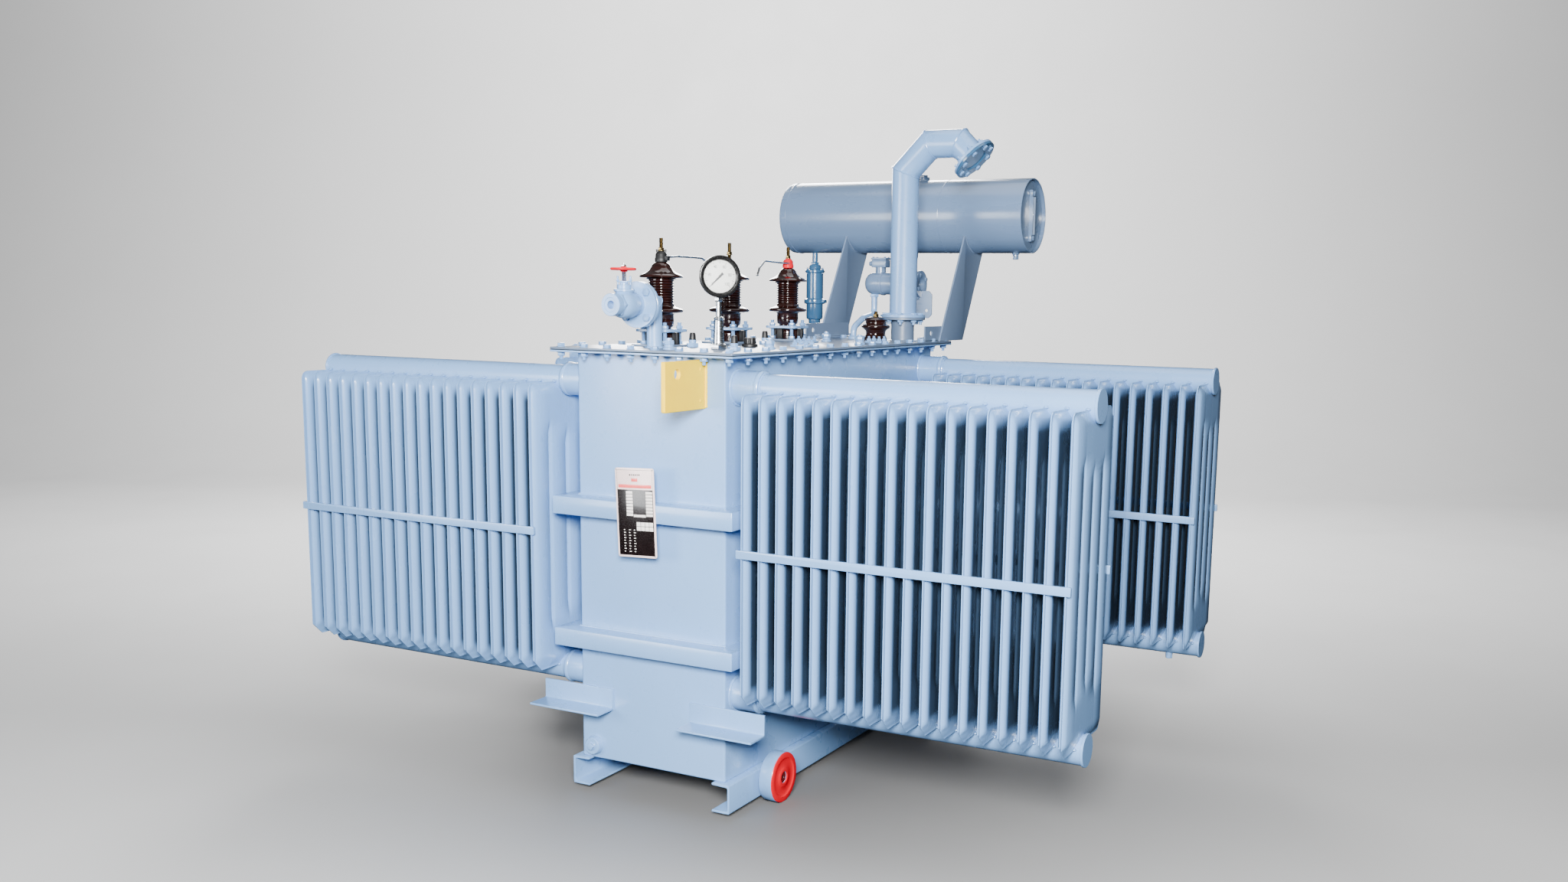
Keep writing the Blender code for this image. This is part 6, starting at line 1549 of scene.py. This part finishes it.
# ---------- lugs, plates and terminals
class MakeLugs(bpy.types.Operator):
    """Builds the two yellow lifting lugs with their shackle holes and weld beads."""

    bl_idname = "transformer.lugs"
    bl_label = "Lifting lugs"

    def execute(self, context):
        for name, end in ENDS:
            lug = f"lifting_lug_{name}"
            bottom, top = low(lug)[2], high(lug)[2]
            inner, outer = end * WALL_Y, end * (WALL_Y + 0.185)
            outline = eased([(inner, bottom), (outer, bottom), (outer, top), (inner, top)], 0.004, 3,
                loop=True)
            hole = np.array((outer - end * 0.055, top - 0.033))
            plate = moved(pierced(outline, hole, 0.013, low(lug)[0], high(lug)[0], 0.0012), ALONG_X)
            x = middle(lug)[0]
            beads = []
            for side in (-1, 1):
                share = np.linspace(0, 1, 40)
                size = 0.0042 * (1 + 0.14 * np.sin(share * 60))
                line = np.c_[np.full(40, x + side * 0.0065), np.full(40, end * (WALL_Y + 0.001)),
                    bottom + 0.003 + share * (top - bottom - 0.006)]
                around = np.arange(8) * FULL_TURN / 8
                rows = line[:, None] + size[:, None, None] * np.stack([np.cos(around), np.sin(around),
                    0 * around], -1)[None]
                beads.append(grid(rows))
            screws = [facing((1, 0, 0), (high(lug)[0], outer - end * 0.16, z))
                for z in (bottom + 0.022, top - 0.024)]
            heads = copies(lathe(mm((4.8, -0.4), (4.6, 1), (3, 1.8), (0, 2)), 18), screws)
            make(f"{lug}_finished", merge([plate, *beads, heads]), "yellow", replaces=lug)
        return {"FINISHED"}


class MakeRatingPlate(bpy.types.Operator):
    """Builds the rating plate: a thin lacquered sheet with blank printed fields and four rivets."""

    bl_idname = "transformer.rating_plate"
    bl_label = "Rating plate"

    def execute(self, context):
        width, height, margin = 0.124, 0.238, 0.0055
        centre = middle("rating_plate")
        lean = math.radians(-2.4)
        face = axes((math.cos(lean), 0, -math.sin(lean)), (math.sin(lean), 0, math.cos(lean)), (0, -1, 0),
            (centre[0], high("rating_plate")[1], centre[2]))
        sheet = slab(rectangle(-width / 2, width / 2, -height / 2, height / 2, 0.007, 5), 0, 0.002, 0.0006)
        make("rating_plate_sheet", moved(sheet, face), "plate", replaces="rating_plate")

        def fields(boxes, level):
            return moved(merge([slab(rectangle(x0, x1, y0, y1), level, level + 0.00012, 0.00002)
                for x0, x1, y0, y1 in boxes]), face)

        right, head = width / 2 - margin, height / 2 - margin
        left, foot = -right, -head
        split = head - 0.052
        frame_lines = [(left, right, head - 0.0008, head), (left, left + 0.0008, split, head),
            (right - 0.0008, right, split, head)]
        dark = [(left, right, foot, split)] + frame_lines
        dark += [(left + 0.04 + 0.006 * k, left + 0.0435 + 0.006 * k, head - 0.015, head - 0.0105)
            for k in range(6)]
        make("rating_plate_dark_print", fields(dark, 0.00201), "print_dark")
        red = [(left + 0.004, right - 0.004, split + 0.0045, split + 0.0135), (left + 0.046, left + 0.066,
            split + 0.0215, split + 0.03)]
        make("rating_plate_red_print", fields(red, 0.00201), "print_red")
        white = []
        step = 0.0084
        for row in range(8):
            y1 = split - 0.0045 - row * step
            white.append((left + 0.0275, left + 0.048, y1 - step + 0.0018, y1))
            white.append((right - 0.023, right - 0.002, y1 - step + 0.0018, y1))
        white.append((left + 0.05, right - 0.025, split - 0.0725, split - 0.066))
        for row in range(2):
            for column in range(4):
                x0 = right - 0.055 + column * 0.0134
                y1 = split - 0.086 - row * 0.012
                white.append((x0, x0 + 0.012, y1 - 0.0105, y1))
        for row in range(9):
            for column in range(3):
                x0 = left + 0.016 + column * 0.016
                y0 = foot + 0.009 + row * 0.0072
                white.append((x0, x0 + 0.004 + 0.002 * ((row + column) % 2), y0, y0 + 0.0018))
        make("rating_plate_white_print", fields(white, 0.00215), "print_white")
        rivets = [face @ at(x, y, 0.002) for x in (-width / 2 + 0.0045, width / 2 - 0.0045)
            for y in (-height / 2 + 0.0045, height / 2 - 0.0045)]
        head_shape = lathe(mm((2.2, -0.3), (2, 0.6), (1.2, 1.1), (0, 1.3)), 16)
        make("rating_plate_rivets", copies(head_shape, rivets), "zinc")
        return {"FINISHED"}


class MakeTerminalBlock(bpy.types.Operator):
    """Builds the low voltage terminals: a resin block held by a frame, with four drilled brass palms."""

    bl_idname = "transformer.terminal_block"
    bl_label = "Low voltage terminals"

    def execute(self, context):
        block_low, block_high = low("lv_terminal_block"), high("lv_terminal_block")
        face = -WALL_X
        z = (block_low[2] + block_high[2]) / 2
        outline = rectangle(block_low[1], block_high[1], block_low[2], block_high[2], 0.012, 5)
        shapes = [plate_yz(outline, face - 0.0163, face - 0.0003, 0.002)]
        palm_y = np.linspace(-0.1575, 0.1575, 4)
        for y in palm_y:
            shapes.append(plate_yz(rectangle(y - 0.03, y + 0.03, z - 0.02, z + 0.02, 0.008, 4), face - 0.0235,
                face - 0.0155, 0.002))
        make("lv_terminal_resin", merge(shapes), "resin", replaces="lv_terminal_block")
        tip = block_low[0]
        palms = []
        for y in palm_y:
            outline = rectangle(tip, face + 0.05, y - 0.02, y + 0.02, 0.004, 3)
            palms.append(pierced(outline, np.array((tip + 0.022, y)), 0.007, z - 0.005, z + 0.005, 0.0008))
        make("lv_palms", merge(palms), "brass")
        edge = [(y, lift) for y in (-0.205, -0.105, 0.0, 0.105, 0.205) for lift in (-0.047, 0.047)]
        head = merge([washer(0.0098, 0, 0.0016), hexagon(0.016, 0.0016, 0.0085)])
        spots = [facing((-1, 0, 0), (face - 0.0163, y, z + lift)) for y, lift in edge]
        make("lv_block_bolts", copies(head, spots), "zinc")
        return {"FINISHED"}


# ---------- carried-over nodes
class FinishFrame(bpy.types.Operator):
    """Gives every frame node that is still shown its own procedural finish."""

    bl_idname = "transformer.frame_finish"
    bl_label = "Frame finishes"

    def execute(self, context):
        kept = {"magnetic_core": "steel", "winding_1": "copper", "winding_2": "copper", "winding_3": "copper",
            "upper_core_clamp": "cast", "lower_core_clamp": "cast", "cover_gasket": "rubber",
            "valve_gate": "brass"}
        for name, carried_node in frame["nodes"].items():
            carried_node.data.materials.clear()
            carried_node.data.materials.append(finish_of(kept.get(name, "hardware")))
        return {"FINISHED"}


# ---------- stage
CAMERA_PLACE = (2.1298, -3.6743, 1.3952)
CAMERA_YAW, CAMERA_PITCH, CAMERA_ROLL = 0.46876, 0.155293, 0.016046


def camera_matrix():
    """Columns are the camera's right, up and back directions, from its yaw, pitch and roll."""
    ahead = np.array([-math.sin(CAMERA_YAW) * math.cos(CAMERA_PITCH),
        math.cos(CAMERA_YAW) * math.cos(CAMERA_PITCH), -math.sin(CAMERA_PITCH)])
    side = np.array([math.cos(CAMERA_YAW), math.sin(CAMERA_YAW), 0])
    rise = np.cross(side, ahead)
    turn, lean = math.cos(CAMERA_ROLL), math.sin(CAMERA_ROLL)
    return axes(turn * side + lean * rise, -lean * side + turn * rise, -ahead, CAMERA_PLACE)


def softbox(name, place, target, size, energy, colour=(1, 1, 1)):
    light = bpy.data.lights.new(name, "AREA")
    light.shape = "RECTANGLE"
    light.size, light.size_y = size
    light.energy = energy
    light.color = colour
    lamp = bpy.data.objects.new(name, light)
    lamp.visible_camera = False
    lamp.matrix_world = facing(np.array(place, float) - np.array(target, float), place)
    bpy.context.scene.collection.objects.link(lamp)


class MakeStage(bpy.types.Operator):
    """Builds the floor that sweeps up into the backdrop, the soft lights, the sky and the camera."""

    bl_idname = "transformer.stage"
    bl_label = "Stage"

    def execute(self, context):
        ahead = np.array([-math.sin(CAMERA_YAW), math.cos(CAMERA_YAW)])
        side = np.array([ahead[1], -ahead[0]])
        bend = np.linspace(0, math.pi / 2, 17)
        run = np.r_[-9.0, np.linspace(-8, 4, 7), 5.5 + 3.5 * np.sin(bend), 9.0]
        rise = np.r_[0.0, np.zeros(7), 3.5 * (1 - np.cos(bend)), 9.0]
        across = np.linspace(-14, 14, 9)
        points = np.stack([run[:, None] * ahead[0] + across[None] * side[0],
            run[:, None] * ahead[1] + across[None] * side[1], rise[:, None] + 0 * across[None] - 0.0002], -1)
        mesh = bpy.data.meshes.new("studio_sweep")
        rows, columns = points.shape[:2]
        row, column = np.meshgrid(np.arange(rows - 1), np.arange(columns - 1), indexing="ij")
        faces = np.stack([row * columns + column, row * columns + column + 1, (row + 1) * columns + column
            + 1, (row + 1) * columns + column], -1).reshape(-1, 4)[:, ::-1]
        mesh.from_pydata(points.reshape(-1, 3).tolist(), [], faces.tolist())
        mesh.update()
        mesh.polygons.foreach_set("use_smooth", np.ones(len(mesh.polygons), bool))
        if mesh.polygons[0].normal.z < 0:
            mesh.flip_normals()
        mesh.materials.append(finish_of("floor"))
        sweep = bpy.data.objects.new("studio_sweep", mesh)
        context.scene.collection.objects.link(sweep)
        sweep.visible_diffuse = sweep.visible_glossy = False

        softbox("key_softbox", (2.2, -4.0, 2.1), (0, -0.4, 0.7), (1.1, 0.9), 690, (1.0, 0.995, 0.98))
        softbox("fill_softbox", (-2.4, -4.4, 1.6), (0, 0, 0.8), (1.8, 1.8), 150, (0.95, 0.98, 1.0))
        softbox("top_softbox", (0.2, 0.4, 4.6), (0, 0.1, 0.8), (3.6, 2.8), 62)
        softbox("rear_softbox", (-2.6, 4.2, 3.0), (0, 0, 1.0), (2.6, 2.2), 400)
        softbox("backdrop_light", (-1.5, 2.2, 5.2), (-3.6, 7.0, 2.6), (6.0, 2.5), 2050)

        world = bpy.data.worlds.new("Studio sky")
        world.use_nodes = True
        tree = world.node_tree
        tree.nodes.clear()
        place = node(tree, "TexCoord").outputs["Generated"]
        height = node(tree, "SeparateXYZ", {"Vector": place}).outputs["Z"]
        tint = blended(tree, spread_of(tree, height, 0, 1, -0.3, 0.8), (0.05, 0.06, 0.08, 1),
            (0.95, 0.97, 1.0, 1))
        sky = node(tree, "Background", {"Color": tint, "Strength": 0.2})
        backing = node(tree, "Background", {"Color": (0.72, 0.72, 0.72, 1), "Strength": 1.0})
        both = node(tree, "MixShader", {0: node(tree, "LightPath").outputs["Is Camera Ray"]})
        for socket, source in ((1, sky), (2, backing)):
            tree.links.new(source.outputs[0], both.inputs[socket])
        tree.links.new(both.outputs[0], tree.nodes.new("ShaderNodeOutputWorld").inputs[0])
        context.scene.world = world

        camera = bpy.data.cameras.new("view_camera")
        camera.lens, camera.sensor_width = 31.91, 36
        camera.shift_x, camera.shift_y = -0.0424, 0.0447
        viewer = bpy.data.objects.new("view_camera", camera)
        viewer.matrix_world = camera_matrix()
        context.scene.collection.objects.link(viewer)
        context.scene.camera = viewer
        return {"FINISHED"}


# ---------- panel and registration
STEPS = (FinishFrame, MakeTank, MakeCover, MakeBase, MakeRollers, MakeRadiators, MakeBushings, MakeVentPipe,
    MakeValve, MakeThermometer, MakeTapChanger, MakeConservator, MakeRelay, MakeBreather, MakeLugs,
    MakeRatingPlate, MakeTerminalBlock, MakeStage)


class TransformerPanel(bpy.types.Panel):
    """Lists the building steps in the sidebar."""

    bl_idname = "VIEW3D_PT_transformer"
    bl_label = "Distribution transformer"
    bl_space_type = "VIEW_3D"
    bl_region_type = "UI"
    bl_category = "Transformer"

    def draw(self, context):
        for title, group in (("Sizes", context.scene.transformer_sizes),
            ("Colours", context.scene.transformer_colours)):
            box = self.layout.box()
            box.label(text=title)
            for name in group.__annotations__:
                box.prop(group, name)
        for step in STEPS:
            self.layout.operator(step.bl_idname)


CLASSES = (TransformerSizes, TransformerColours) + STEPS + (TransformerPanel,)


def register():
    for each in CLASSES:
        bpy.utils.register_class(each)
    bpy.types.Scene.transformer_sizes = bpy.props.PointerProperty(type=TransformerSizes)
    bpy.types.Scene.transformer_colours = bpy.props.PointerProperty(type=TransformerColours)


def unregister():
    del bpy.types.Scene.transformer_colours
    del bpy.types.Scene.transformer_sizes
    for each in reversed(CLASSES):
        bpy.utils.unregister_class(each)


def main():
    register()
    for step in STEPS:
        family, name = step.bl_idname.split(".")
        getattr(getattr(bpy.ops, family), name)()


if __name__ == "__main__":
    main()
